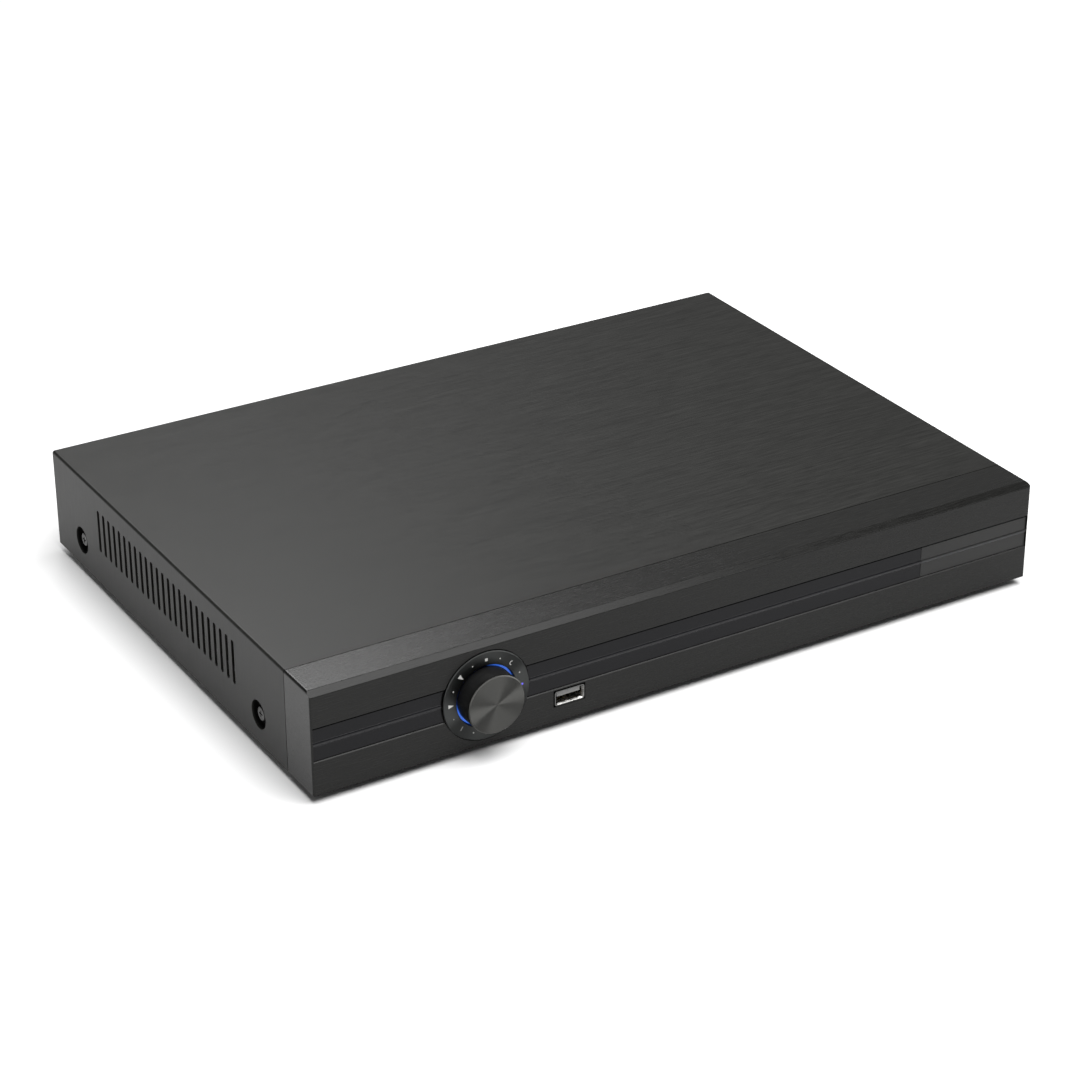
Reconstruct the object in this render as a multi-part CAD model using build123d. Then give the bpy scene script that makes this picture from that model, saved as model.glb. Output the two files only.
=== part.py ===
from build123d import *
import os
from math import atan2, cos, pi, radians, sin, tan

# A desktop digital video recorder. Millimetres. +Z is up, the front faces -Y, and +X is to the
# right as seen from the front. The origin is the bottom centre of the whole recorder.

# ---- driving dimensions -------------------------------------------------------------------
WIDTH = 356.0
DEPTH = 254.0
CASE_HEIGHT = 46.4
FOOT_HEIGHT = 4.0
PROUD = 9.1                 # how far the knob and the rear sockets stand out of the case
SHEET = 1.0
EDGE_RADIUS = 1.2

CASE_X = WIDTH / 2
FRONT_Y = -DEPTH / 2
REAR_Y = DEPTH / 2
BOTTOM_Z = FOOT_HEIGHT
TOP_Z = FOOT_HEIGHT + CASE_HEIGHT

# front bezel
BEZEL_DEPTH = 22.1
SEAM = 0.4
BEZEL_WALL = 2.4
BEZEL_FACE = 3.2
BEZEL_BACK_Y = FRONT_Y + BEZEL_DEPTH
BEZEL_INNER_Y = FRONT_Y + BEZEL_FACE
BEVEL_DEPTH = 3.45
BEVEL_DROP = 1.7
BEVEL_LOWER_ROUND = 0.45
BEVEL_UPPER_ROUND = 1.3
LIP_LENGTH = 6.0
LIP_STEP = 1.2
STRIP_Z = (BOTTOM_Z + 15.4, BOTTOM_Z + 30.6)
STRIP_END_WALL = 0.7
STRIP_POCKET = 1.8
STRIP_SPLIT_X = 119.3
STRIP_GROOVE = 0.9
STRIP_LIP_CHAMFER = 0.35
STRIP_SETBACK = 0.65
STRIP_BEAD = (0.9, 0.4)

# jog dial
DIAL_X = -99.4
DIAL_Z = BOTTOM_Z + 22.5
DIAL_RADIUS = 20.0
DIAL_GAP = 0.4
DIAL_BORE = 13.9
DIAL_THICK = 1.5
DIAL_PROUD = 0.6
RING_SETBACK = 2.1
KNOB_RADIUS = 13.0
KNOB_CAP = 1.0
PRESS_TRAVEL = 0.6
SHAFT_RADIUS = 3.0
RUNNING_GAP = 0.05
DIAL_FACE_Y = FRONT_Y - DIAL_PROUD
DIAL_BACK_Y = DIAL_FACE_Y + DIAL_THICK
RING_FACE_Y = DIAL_FACE_Y + RING_SETBACK
KNOB_TIP_Y = FRONT_Y - PROUD
KNOB_BACK_Y = DIAL_FACE_Y + 1.3

# front circuit board and its parts
BOARD = 1.6
FRONT_BOARD_Y = FRONT_Y + 14.0
ENCODER_DEPTH = 6.5
ENCODER_SIZE = 12.4
BUSH_RADIUS = 3.5
BUSH_END_Y = FRONT_Y + 2.6
USB_X = -60.1
USB_Z = BOTTOM_Z + 10.7
USB_SIZE = (13.2, 5.8)
USB_WALL = 0.4
USB_FLARE = 0.45
USB_HOLE = (15.2, 7.8)
STATUS_LED_X = (56.0, 68.0, 80.0)
RECEIVER_X = 102.0

# folded chassis and rear panel
CHASSIS_X = CASE_X - 2.9
CHASSIS_FRONT_Y = BEZEL_BACK_Y + 0.3
FLOOR_TOP = BOTTOM_Z + SHEET
FLANGE_HEIGHT = 22.0
FRONT_WALL_HEIGHT = 34.0
PANEL_Y = REAR_Y - SHEET - 0.1
PANEL_INNER_Y = PANEL_Y - SHEET
PANEL_TOP = TOP_Z - SHEET - 0.1

# side vents and side screws
VENT_COUNT = 25
VENT_PITCH = 5.64
VENT_WIDTH = 2.5
VENT_LENGTH = 20.5
VENT_FIRST_Y = FRONT_Y + 69.3
VENT_Z = BOTTOM_Z + 27.15
SIDE_SCREWS = ((FRONT_Y + 47.4, BOTTOM_Z + 13.5), (FRONT_Y + 226.0, BOTTOM_Z + 13.5))
DIMPLE_RADIUS = 6.4
DIMPLE_FLOOR = 5.1
DIMPLE_DEPTH = 1.85
SCREW_HEAD = 3.0
SCREW_SHANK = 1.5
SCREW_HOLE = 1.7
LIP_SCREWS_X = (-150.0, 8.0, 112.0)
LIP_DROP = 7.0
LIP_SCREW_Z = TOP_Z - 3.8

# feet and disk drive
FEET = ((-148.0, -88.0), (148.0, -88.0), (-148.0, 98.0), (148.0, 98.0))
FOOT_RADIUS = 9.0
DISK = (147.0, 101.6, 26.1)
DISK_X = (-152.0, -5.0)
DISK_Y = (-90.0, 11.6)
DISK_SPACER = 3.0
DISK_Z = FLOOR_TOP + DISK_SPACER
PLATTER_X = DISK_X[0] + 54.0
PLATTER_Y = (DISK_Y[0] + DISK_Y[1]) / 2
PLATTER_RADIUS = 47.5
PLATTER_Z = (DISK_Z + 12.4, DISK_Z + 17.4)
PLATTER = 1.3
ARM_PIVOT = (DISK_X[0] + 121.0, DISK_Y[0] + 22.0)
ARM_REACH = 52.0
ARM_REST = 105.0

# main board and its sockets
STANDOFF = 6.0
MAIN_X = (-126.0, 114.0)
MAIN_Y = (24.0, 122.0)
MAIN_Z = FLOOR_TOP + STANDOFF
MAIN_TOP = MAIN_Z + BOARD
BNC_PITCH = 16.0
BNC_X = [-62.0 - BNC_PITCH * column for column in range(4)]
BNC_Z = (MAIN_TOP + 8.0, MAIN_TOP + 8.0 + BNC_PITCH)
RCA_X = -36.0
RCA_Z = (MAIN_TOP + 7.5, MAIN_TOP + 21.5)
VGA_X = -2.0
VGA_Z = MAIN_TOP + 7.8
VGA_SCREW_PITCH = 25.0
HDMI_X = 33.0
HDMI_Z = MAIN_TOP + 3.1
REAR_USB_X = 56.0
REAR_USB_Z = MAIN_TOP + 3.5
LAN_X = 79.0
LAN_SIZE = (16.0, 13.6)
POWER_X = 102.0
POWER_SIZE = (9.0, 11.0)
POWER_Z = MAIN_TOP + 6.4
SOCKET_TIP_Y = REAR_Y + PROUD
FAN_X = 142.0
FAN_Z = (FLOOR_TOP + PANEL_TOP) / 2
FAN_SIZE = 40.0
FAN_DEPTH = 10.0
FAN_BORE = 18.9
FAN_SCREW_PITCH = 32.0
FAN_FRONT_Y = PANEL_INNER_Y - FAN_DEPTH
FAN_BLADES = 7


# ---- small helpers ------------------------------------------------------------------------
def block(x, y, z):
    """A box between the low and high values given for each axis."""
    size = (x[1] - x[0], y[1] - y[0], z[1] - z[0])
    centre = ((x[0] + x[1]) / 2, (y[0] + y[1]) / 2, (z[0] + z[1]) / 2)
    return Pos(*centre) * Box(*size)


def rod_x(y, z, radius, x):
    return Pos((x[0] + x[1]) / 2, y, z) * Rot(0, 90, 0) * Cylinder(radius, x[1] - x[0])


def rod_y(x, z, radius, y):
    return Pos(x, (y[0] + y[1]) / 2, z) * Rot(90, 0, 0) * Cylinder(radius, y[1] - y[0])


def rod_z(x, y, radius, z):
    return Pos(x, y, (z[0] + z[1]) / 2) * Cylinder(radius, z[1] - z[0])


def around(centre, reach):
    return (centre - reach, centre + reach)


def group(solids):
    """Several separate solids that share one node."""
    return Compound([solid for part in solids for solid in part.solids()])


def cross_recess_y(x, z, y, deep):
    """A cross cut into a screw head whose face is at y, going deep along the sign of deep."""
    ends = sorted((y, y + deep))
    upright = block(around(x, 0.35), ends, around(z, 1.5))
    level = block(around(x, 1.5), ends, around(z, 0.35))
    return upright + level


def case_profile(inset, low):
    """The case's outline in the XZ plane, with its two top corners rounded."""
    half = CASE_X - inset
    top = TOP_Z - inset
    radius = max(EDGE_RADIUS - inset, 0.3)
    outline = Polyline((-half, low), (-half, top), (half, top), (half, low), close=True)
    face = make_face(outline)
    corners = face.vertices().sort_by(Axis.Y)[-2:]
    return fillet(corners, radius)


def case_slab(inset, low, y):
    """The case's outline carried from y[0] to y[1]."""
    face = Plane.XZ.offset(-y[0]) * case_profile(inset, low)
    return extrude(face, -(y[1] - y[0]))


# ---- the folded top cover -----------------------------------------------------------------
def vent_slots(side):
    slots = []
    for index in range(VENT_COUNT):
        y = VENT_FIRST_Y + index * VENT_PITCH
        straight = VENT_LENGTH - VENT_WIDTH
        x = sorted((side * (CASE_X - 3 * SHEET), side * (CASE_X + 1)))
        slots.append(block(x, around(y, VENT_WIDTH / 2), around(VENT_Z, straight / 2)))
        slots.append(rod_x(y, VENT_Z - straight / 2, VENT_WIDTH / 2, x))
        slots.append(rod_x(y, VENT_Z + straight / 2, VENT_WIDTH / 2, x))
    return slots


def dimple(side, y, z, grow, deep):
    """A shallow cone pressed into a side wall, from its outer face inwards."""
    cone = Cone(DIMPLE_FLOOR + grow, DIMPLE_RADIUS + grow, deep)
    return Pos(side * (CASE_X - deep / 2), y, z) * Rot(0, side * 90, 0) * cone


def top_cover():
    y = (BEZEL_BACK_Y + SEAM, REAR_Y)
    cover = case_slab(0, BOTTOM_Z, y)
    inside = (y[0] - 1, REAR_Y - SHEET)
    cover -= case_slab(SHEET, BOTTOM_Z - 1, inside)
    window = block(around(0, CASE_X - 2 * SHEET), (REAR_Y - 2 * SHEET, REAR_Y + 1),
                   (BOTTOM_Z - 1, TOP_Z - LIP_DROP))
    cover -= window
    cover -= block(around(FAN_X, FAN_SIZE / 2 + 2), (REAR_Y - 2 * SHEET, REAR_Y + 1),
                   (BOTTOM_Z, TOP_Z - 2.5))
    for side in (-1, 1):
        hem = sorted((side * (CASE_X - 2.7), side * (CASE_X - SHEET)))
        cover += block(hem, (y[0], REAR_Y - 2.2), (BOTTOM_Z, BOTTOM_Z + SHEET))
        for screw_y, screw_z in SIDE_SCREWS:
            cover += dimple(side, screw_y, screw_z, 0.9, DIMPLE_DEPTH + SHEET)
            cover -= dimple(side, screw_y, screw_z, 0.0, DIMPLE_DEPTH)
            wall = sorted((side * (CASE_X - 5), side * CASE_X))
            cover -= rod_x(screw_y, screw_z, SCREW_HOLE, wall)
        cover -= vent_slots(side)
    for x in LIP_SCREWS_X:
        cover -= rod_y(x, LIP_SCREW_Z, SCREW_HOLE, (REAR_Y - 3, REAR_Y + 1))
    return cover


# ---- the moulded front bezel --------------------------------------------------------------
def bevel_cut():
    """What the bevel takes off the long front edge of the top, with both its creases rounded."""
    slope = atan2(BEVEL_DROP, BEVEL_DEPTH)
    along, up = cos(slope), sin(slope)
    lower = BEVEL_LOWER_ROUND * tan((pi / 2 - slope) / 2)
    upper = BEVEL_UPPER_ROUND * tan(slope / 2)
    low_z = TOP_Z - BEVEL_DROP - lower
    back_y = FRONT_Y + BEVEL_DEPTH + upper
    first = (FRONT_Y + lower * along, TOP_Z - BEVEL_DROP + lower * up)
    last = (FRONT_Y + BEVEL_DEPTH - upper * along, TOP_Z - upper * up)
    lines = [Line((FRONT_Y - 1, low_z), (FRONT_Y, low_z)),
             TangentArc((FRONT_Y, low_z), first, tangent=(0, 1)),
             Line(first, last),
             TangentArc(last, (back_y, TOP_Z), tangent=(along, up)),
             Line((back_y, TOP_Z), (back_y, TOP_Z + 1)),
             Line((back_y, TOP_Z + 1), (FRONT_Y - 1, TOP_Z + 1)),
             Line((FRONT_Y - 1, TOP_Z + 1), (FRONT_Y - 1, low_z))]
    face = Plane.YZ.offset(-CASE_X - 1) * make_face(Curve() + lines)
    return extrude(face, WIDTH + 2)


def lip_chamfer():
    """The corner taken off the ledge below the strip, where it meets the face of the bezel."""
    size = STRIP_LIP_CHAMFER
    outline = Polyline((FRONT_Y - 1, STRIP_Z[0] - size - 1), (FRONT_Y - 1, STRIP_Z[0] + 0.1),
                       (FRONT_Y + size + 0.1, STRIP_Z[0] + 0.1), close=True)
    face = Plane.YZ.offset(-CASE_X + STRIP_END_WALL) * make_face(outline)
    return extrude(face, WIDTH - 2 * STRIP_END_WALL)


BOSSES = ((-164.0, BOTTOM_Z + 9.0), (-164.0, BOTTOM_Z + 37.0), (126.0, BOTTOM_Z + 9.0),
          (126.0, BOTTOM_Z + 37.0))
WALL_BOSSES = ((-170.0, BOTTOM_Z + 23.0), (-20.0, BOTTOM_Z + 7.0), (60.0, BOTTOM_Z + 7.0),
               (168.0, BOTTOM_Z + 23.0))


def front_bezel():
    bezel = case_slab(0, BOTTOM_Z, (FRONT_Y, BEZEL_BACK_Y))
    uprights = bezel.edges().filter_by(Axis.Z).group_by(Axis.Y)[0]
    bezel = fillet(uprights, 0.8)
    bezel -= bevel_cut()
    lip = case_slab(LIP_STEP, BOTTOM_Z + 1.3, (BEZEL_BACK_Y - 1, BEZEL_BACK_Y + LIP_LENGTH))
    bezel += lip
    hollow_x = CASE_X - BEZEL_WALL
    bezel -= block(around(0, hollow_x), (BEZEL_INNER_Y, BEZEL_BACK_Y),
                   (BOTTOM_Z + BEZEL_WALL, TOP_Z - BEZEL_WALL))
    bezel -= block(around(0, hollow_x), (BEZEL_BACK_Y, BEZEL_BACK_Y + LIP_LENGTH + 1),
                   (BOTTOM_Z - 1, TOP_Z - BEZEL_WALL))
    pocket = block(around(0, CASE_X - STRIP_END_WALL), (FRONT_Y - 1, FRONT_Y + STRIP_POCKET),
                   STRIP_Z)
    dial_seat = rod_y(DIAL_X, DIAL_Z, DIAL_RADIUS + DIAL_GAP, (FRONT_Y - 2, BEZEL_INNER_Y + 1))
    bezel -= pocket - dial_seat
    bezel -= lip_chamfer()
    bezel -= rod_y(DIAL_X, DIAL_Z, DIAL_RADIUS + DIAL_GAP, (FRONT_Y - 1, DIAL_BACK_Y))
    bezel -= rod_y(DIAL_X, DIAL_Z, DIAL_BORE, (FRONT_Y - 1, BEZEL_INNER_Y + 1))
    bezel -= block(around(USB_X, USB_HOLE[0] / 2), (FRONT_Y - 1, BEZEL_INNER_Y + 1),
                   around(USB_Z, USB_HOLE[1] / 2))
    for x in (*STATUS_LED_X, RECEIVER_X):
        bezel -= block(around(x, 3.2), (FRONT_Y, BEZEL_INNER_Y + 1), around(DIAL_Z, 3.2))
    for x, z in BOSSES:
        bezel += rod_y(x, z, 3.2, (BEZEL_INNER_Y - 0.5, FRONT_BOARD_Y))
        bezel -= rod_y(x, z, 1.3, (BEZEL_INNER_Y + 2, FRONT_BOARD_Y + 1))
    for x, z in WALL_BOSSES:
        bezel += rod_y(x, z, 3.4, (BEZEL_INNER_Y - 0.5, BEZEL_BACK_Y + 0.3))
        bezel -= rod_y(x, z, 1.3, (BEZEL_INNER_Y + 8, BEZEL_BACK_Y + 1))
    return bezel


def strip_section(x):
    """The inlaid strip: a flat face with a low rounded bead along its middle."""
    low = STRIP_Z[0] + 0.08
    high = STRIP_Z[1] - STRIP_GROOVE
    back = FRONT_Y + STRIP_POCKET
    face_y = FRONT_Y + STRIP_SETBACK
    middle = (STRIP_Z[0] + STRIP_Z[1]) / 2
    half, rise = STRIP_BEAD
    lines = [Line((back, low), (face_y, low)),
             Line((face_y, low), (face_y, middle - half)),
             ThreePointArc((face_y, middle - half), (face_y - rise, middle),
                           (face_y, middle + half)),
             Line((face_y, middle + half), (face_y, high)),
             Line((face_y, high), (back, high)),
             Line((back, high), (back, low))]
    face = Plane.YZ.offset(x[0]) * make_face(Curve() + lines)
    return extrude(face, x[1] - x[0])


def window_strip():
    strip = strip_section((-CASE_X + STRIP_END_WALL + 0.15, STRIP_SPLIT_X - 0.1))
    seat = rod_y(DIAL_X, DIAL_Z, DIAL_RADIUS + DIAL_GAP + 0.1, (FRONT_Y - 2, FRONT_Y + 4))
    return group([strip - seat])


def strip_end():
    return strip_section((STRIP_SPLIT_X + 0.1, CASE_X - STRIP_END_WALL - 0.15))


# ---- the jog dial and the encoder behind it ------------------------------------------------
def dial_ring():
    ring = rod_y(DIAL_X, DIAL_Z, DIAL_RADIUS, (DIAL_FACE_Y, DIAL_BACK_Y))
    outer = ring.edges().filter_by(GeomType.CIRCLE).group_by(Axis.Y)[0]
    ring = chamfer(outer, 0.2)
    return ring - rod_y(DIAL_X, DIAL_Z, DIAL_BORE, (DIAL_FACE_Y - 1, DIAL_BACK_Y + 1))


def light_ring():
    sleeve = rod_y(DIAL_X, DIAL_Z, DIAL_BORE - 0.1, (RING_FACE_Y, BEZEL_INNER_Y))
    flange = rod_y(DIAL_X, DIAL_Z, DIAL_BORE + 2.2, (BEZEL_INNER_Y, BEZEL_INNER_Y + 1.2))
    bore = rod_y(DIAL_X, DIAL_Z, DIAL_BORE - 2.6, (RING_FACE_Y - 1, BEZEL_INNER_Y + 2))
    return sleeve + flange - bore


def shaft_bore(radius, flat, y):
    """A round hole with one flat, the shape that a D shaft needs."""
    hole = rod_y(DIAL_X, DIAL_Z, radius, y)
    return hole - block(around(DIAL_X, 5), (y[0] - 1, y[1] + 1), (DIAL_Z + flat, DIAL_Z + 5))


def knob_core():
    face = KNOB_TIP_Y + KNOB_CAP
    core = rod_y(DIAL_X, DIAL_Z, KNOB_RADIUS - 0.1, (face, KNOB_BACK_Y))
    ring_space = rod_y(DIAL_X, DIAL_Z, KNOB_RADIUS - 1.9, (face + 1.6, KNOB_BACK_Y + 1))
    hub = rod_y(DIAL_X, DIAL_Z, 5.4, (face, KNOB_BACK_Y))
    core = core - ring_space + hub
    for turn in range(4):
        rib = block((4.0, KNOB_RADIUS - 1.0), (face, KNOB_BACK_Y - 2.5), (-0.6, 0.6))
        core += Pos(DIAL_X, 0, DIAL_Z) * Rot(0, 45 + 90 * turn, 0) * rib
    return core - shaft_bore(SHAFT_RADIUS, 1.6, (KNOB_TIP_Y + 2.0, KNOB_BACK_Y + 1))


def knob_cap():
    cap = rod_y(DIAL_X, DIAL_Z, KNOB_RADIUS, (KNOB_TIP_Y, KNOB_TIP_Y + KNOB_CAP))
    rim = cap.edges().filter_by(GeomType.CIRCLE).group_by(Axis.Y)[0]
    return chamfer(rim, 0.35)


SHAFT_END_Y = FRONT_BOARD_Y - 2.4
ROTOR_Y = (FRONT_BOARD_Y - 5.5, FRONT_BOARD_Y - 3.4)


def encoder_shaft():
    shaft = rod_y(DIAL_X, DIAL_Z, SHAFT_RADIUS, (KNOB_TIP_Y + 2.0, SHAFT_END_Y))
    flat = block(around(DIAL_X, 5), (KNOB_TIP_Y, KNOB_BACK_Y + 0.5), (DIAL_Z + 1.6, DIAL_Z + 5))
    tail = block(around(DIAL_X, 5), (ROTOR_Y[0] - 0.8, SHAFT_END_Y + 1), (DIAL_Z + 2.2, DIAL_Z + 5))
    return shaft - flat - tail


def encoder_rotor():
    disc = rod_y(DIAL_X, DIAL_Z, 4.6, ROTOR_Y)
    return disc - shaft_bore(SHAFT_RADIUS + RUNNING_GAP, 2.2 + RUNNING_GAP,
                             (ROTOR_Y[0] - 1, ROTOR_Y[1] + 1))


def encoder_body():
    size = ENCODER_SIZE / 2
    face = FRONT_BOARD_Y - ENCODER_DEPTH
    body = block(around(DIAL_X, size), (face, FRONT_BOARD_Y), around(DIAL_Z, size))
    body = chamfer(body.edges().filter_by(Axis.Y), 1.2)
    body += rod_y(DIAL_X, DIAL_Z, BUSH_RADIUS, (BUSH_END_Y, face + 1))
    body -= rod_y(DIAL_X, DIAL_Z, SHAFT_RADIUS + RUNNING_GAP, (BUSH_END_Y - 1, face + 2))
    body -= rod_y(DIAL_X, DIAL_Z, 4.6 + RUNNING_GAP, (ROTOR_Y[0] - 0.3, FRONT_BOARD_Y - 0.8))
    return body


def press_switch():
    """The snap dome under the end of the shaft."""
    return rod_y(DIAL_X, DIAL_Z, 2.6, (SHAFT_END_Y + PRESS_TRAVEL + 0.3, FRONT_BOARD_Y - 0.8))


def front_board():
    board = block((-169.0, 131.0), (FRONT_BOARD_Y, FRONT_BOARD_Y + BOARD),
                  (BOTTOM_Z + 4.5, BOTTOM_Z + 41.5))
    for x, z in BOSSES:
        board -= rod_y(x, z, SCREW_HOLE, (FRONT_BOARD_Y - 1, FRONT_BOARD_Y + BOARD + 1))
    for x, z in WALL_BOSSES:
        board -= rod_y(x, z, 4.2, (FRONT_BOARD_Y - 1, FRONT_BOARD_Y + BOARD + 1))
    return group([board])


def ring_leds():
    """Small lamps on the front board that shine into the back of the light ring."""
    lamps = []
    for angle in (45, 135, 225, 315):
        x = DIAL_X + (DIAL_BORE - 0.8) * cos(radians(angle))
        z = DIAL_Z + (DIAL_BORE - 0.8) * sin(radians(angle))
        lamps.append(block(around(x, 1.6), (FRONT_BOARD_Y - 1.9, FRONT_BOARD_Y), around(z, 1.4)))
    return group(lamps)


def status_leds():
    lamps = []
    for x in STATUS_LED_X:
        lamp = rod_y(x, DIAL_Z, 1.5, (BEZEL_INNER_Y - 0.6, FRONT_BOARD_Y))
        tip = lamp.edges().filter_by(GeomType.CIRCLE).group_by(Axis.Y)[0]
        lamps.append(fillet(tip, 1.2) + rod_y(x, DIAL_Z, 1.9, (FRONT_BOARD_Y - 2, FRONT_BOARD_Y)))
    return group(lamps)


def ir_receiver():
    body = block(around(RECEIVER_X, 3.0), (FRONT_BOARD_Y - 5.2, FRONT_BOARD_Y),
                 around(DIAL_Z, 3.4))
    return body + rod_y(RECEIVER_X, DIAL_Z + 0.3, 2.4, (FRONT_BOARD_Y - 7.4, FRONT_BOARD_Y - 5))


# ---- sockets that are used on both sides ---------------------------------------------------
def flare(x, z, mouth, inwards, wall):
    """The spread lip at the open end of a shell, or the space inside it when wall is set."""
    sections = []
    for y, spread in ((mouth, USB_FLARE), (mouth + 2 * inwards * USB_FLARE, 0.0)):
        wide = USB_SIZE[0] - 2 * wall + 2 * spread
        high = USB_SIZE[1] - 2 * wall + 2 * spread
        outline = RectangleRounded(wide, high, 0.6 + spread)
        sections.append(Plane.XZ.offset(-y) * Pos(x, z) * outline)
    return loft(sections)


def usb_shell(x, z, mouth, depth):
    """A folded steel shell; mouth is the y of its open end and depth runs inwards."""
    ends = sorted((mouth, mouth + depth))
    inner = sorted((mouth - 0.1 * depth, mouth + 0.94 * depth))
    shell = block(around(x, USB_SIZE[0] / 2), ends, around(z, USB_SIZE[1] / 2))
    shell = fillet(shell.edges().filter_by(Axis.Y), 0.6)
    cavity = block(around(x, USB_SIZE[0] / 2 - USB_WALL), inner,
                   around(z, USB_SIZE[1] / 2 - USB_WALL))
    inwards = 1 if depth > 0 else -1
    return shell + flare(x, z, mouth, inwards, 0.0) - cavity - flare(x, z, mouth, inwards, USB_WALL)


def usb_tongue(x, z, mouth, depth):
    ends = sorted((mouth + 0.09 * depth, mouth + 0.94 * depth))
    return block(around(x, 5.5), ends, (z + 0.25, z + 2.1))


def usb_contacts(x, z, mouth, depth):
    strips = []
    for offset in (-3.5, -1.0, 1.0, 3.5):
        ends = sorted((mouth + 0.16 * depth, mouth + 0.9 * depth))
        strips.append(block(around(x + offset, 0.5), ends, (z + 0.05, z + 0.25)))
    return group(strips)


USB_PLACES = ((USB_X, USB_Z, FRONT_Y - 0.2, 14.2), (REAR_USB_X, REAR_USB_Z, REAR_Y + 0.4, -14.2))


# ---- the folded chassis and the rear panel --------------------------------------------------
BOARD_POSTS = ((-118.0, 30.0), (106.0, 30.0), (-118.0, 96.0), (106.0, 96.0))
DISK_HOLES = [(DISK_X[1] - along, y) for along in (41.3, 85.7)
              for y in (DISK_Y[0] + 3.2, DISK_Y[1] - 3.2)]
CABLE_SLOT_X = 24.0


def base_chassis():
    tray = block(around(0, CHASSIS_X), (CHASSIS_FRONT_Y, PANEL_Y), (BOTTOM_Z, FLOOR_TOP))
    for side in (-1, 1):
        flange = sorted((side * (CHASSIS_X - SHEET), side * CHASSIS_X))
        tray += block(flange, (CHASSIS_FRONT_Y, PANEL_INNER_Y),
                      (BOTTOM_Z, BOTTOM_Z + FLANGE_HEIGHT))
        for y, z in SIDE_SCREWS:
            wall = sorted((side * (CHASSIS_X - 2), side * (CHASSIS_X + 1)))
            tray -= rod_x(y, z, SCREW_HOLE, wall)
    front = block(around(0, CHASSIS_X), (CHASSIS_FRONT_Y, CHASSIS_FRONT_Y + SHEET),
                  (BOTTOM_Z, BOTTOM_Z + FRONT_WALL_HEIGHT))
    tray += front
    tray -= block(around(CABLE_SLOT_X, 14), (CHASSIS_FRONT_Y - 1, CHASSIS_FRONT_Y + 2),
                  (BOTTOM_Z + 18, BOTTOM_Z + FRONT_WALL_HEIGHT + 1))
    for x, z in WALL_BOSSES:
        tray -= rod_y(x, z, SCREW_HOLE, (CHASSIS_FRONT_Y - 1, CHASSIS_FRONT_Y + 2))
    for x, y in (*FEET, *BOARD_POSTS, *DISK_HOLES):
        tray -= rod_z(x, y, SCREW_HOLE, (BOTTOM_Z - 1, FLOOR_TOP + 1))
    return tray


def fan_grille():
    """Rings of round air holes in the panel behind the fan."""
    holes = []
    for count, radius in ((1, 0.0), (6, 4.6), (12, 9.2), (18, 13.8), (22, 17.6)):
        for index in range(count):
            angle = 2 * pi * index / count
            x = FAN_X + radius * cos(angle)
            z = FAN_Z + radius * sin(angle)
            holes.append(rod_y(x, z, 1.55, (PANEL_INNER_Y - 1, PANEL_Y + 1)))
    return holes


def d_outline(x, z, width, height, y):
    """The rounded D shape of a video socket, wider along its top edge."""
    half = width / 2
    tuck = height * 0.18
    outline = Polyline((x - half, z + height / 2), (x + half, z + height / 2),
                       (x + half - tuck, z - height / 2), (x - half + tuck, z - height / 2),
                       close=True)
    face = fillet(make_face(outline).vertices(), height * 0.22)
    placed = Plane.XZ.offset(-y[0]) * face
    return extrude(placed, -(y[1] - y[0]))


def rear_panel():
    through = (PANEL_INNER_Y - 1, PANEL_Y + 1)
    panel = block(around(0, CHASSIS_X - SHEET - 0.1), (PANEL_INNER_Y, PANEL_Y),
                  (FLOOR_TOP, PANEL_TOP))
    panel += block(around(0, CHASSIS_X - SHEET - 0.1), (PANEL_INNER_Y - 8, PANEL_INNER_Y),
                   (PANEL_TOP - SHEET, PANEL_TOP))
    panel -= block(around(FAN_X, FAN_SIZE / 2 + 1), (PANEL_INNER_Y - 9, PANEL_INNER_Y),
                   (PANEL_TOP - 2, PANEL_TOP + 1))
    panel -= [rod_y(x, z, 6.5, through) for x in BNC_X for z in BNC_Z]
    panel -= [rod_y(RCA_X, z, 5.3, through) for z in RCA_Z]
    panel -= d_outline(VGA_X, VGA_Z, 18.6, 9.8, through)
    panel -= [rod_y(VGA_X + side * VGA_SCREW_PITCH / 2, VGA_Z, 1.9, through) for side in (-1, 1)]
    panel -= block(around(HDMI_X, 8.1), through, around(HDMI_Z, 3.4))
    panel -= block(around(REAR_USB_X, 7.2), through, around(REAR_USB_Z, 3.5))
    panel -= block(around(LAN_X, 8.5), through, (MAIN_TOP - 0.3, MAIN_TOP + LAN_SIZE[1] + 0.4))
    panel -= block(around(POWER_X, 5.0), through, (MAIN_TOP - 0.3, MAIN_TOP + POWER_SIZE[1] + 0.5))
    panel -= fan_grille()
    for side_x in (-1, 1):
        for side_z in (-1, 1):
            x = FAN_X + side_x * FAN_SCREW_PITCH / 2
            z = FAN_Z + side_z * FAN_SCREW_PITCH / 2
            panel -= rod_y(x, z, 1.7, through)
    for x in LIP_SCREWS_X:
        panel -= rod_y(x, LIP_SCREW_Z, 1.3, through)
    return panel


def standoffs():
    posts = []
    for x, y in BOARD_POSTS:
        post = rod_z(x, y, 2.8, (FLOOR_TOP, MAIN_Z))
        posts.append(post - rod_z(x, y, 1.3, (FLOOR_TOP - 1, MAIN_Z + 1)))
    return group(posts)


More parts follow.
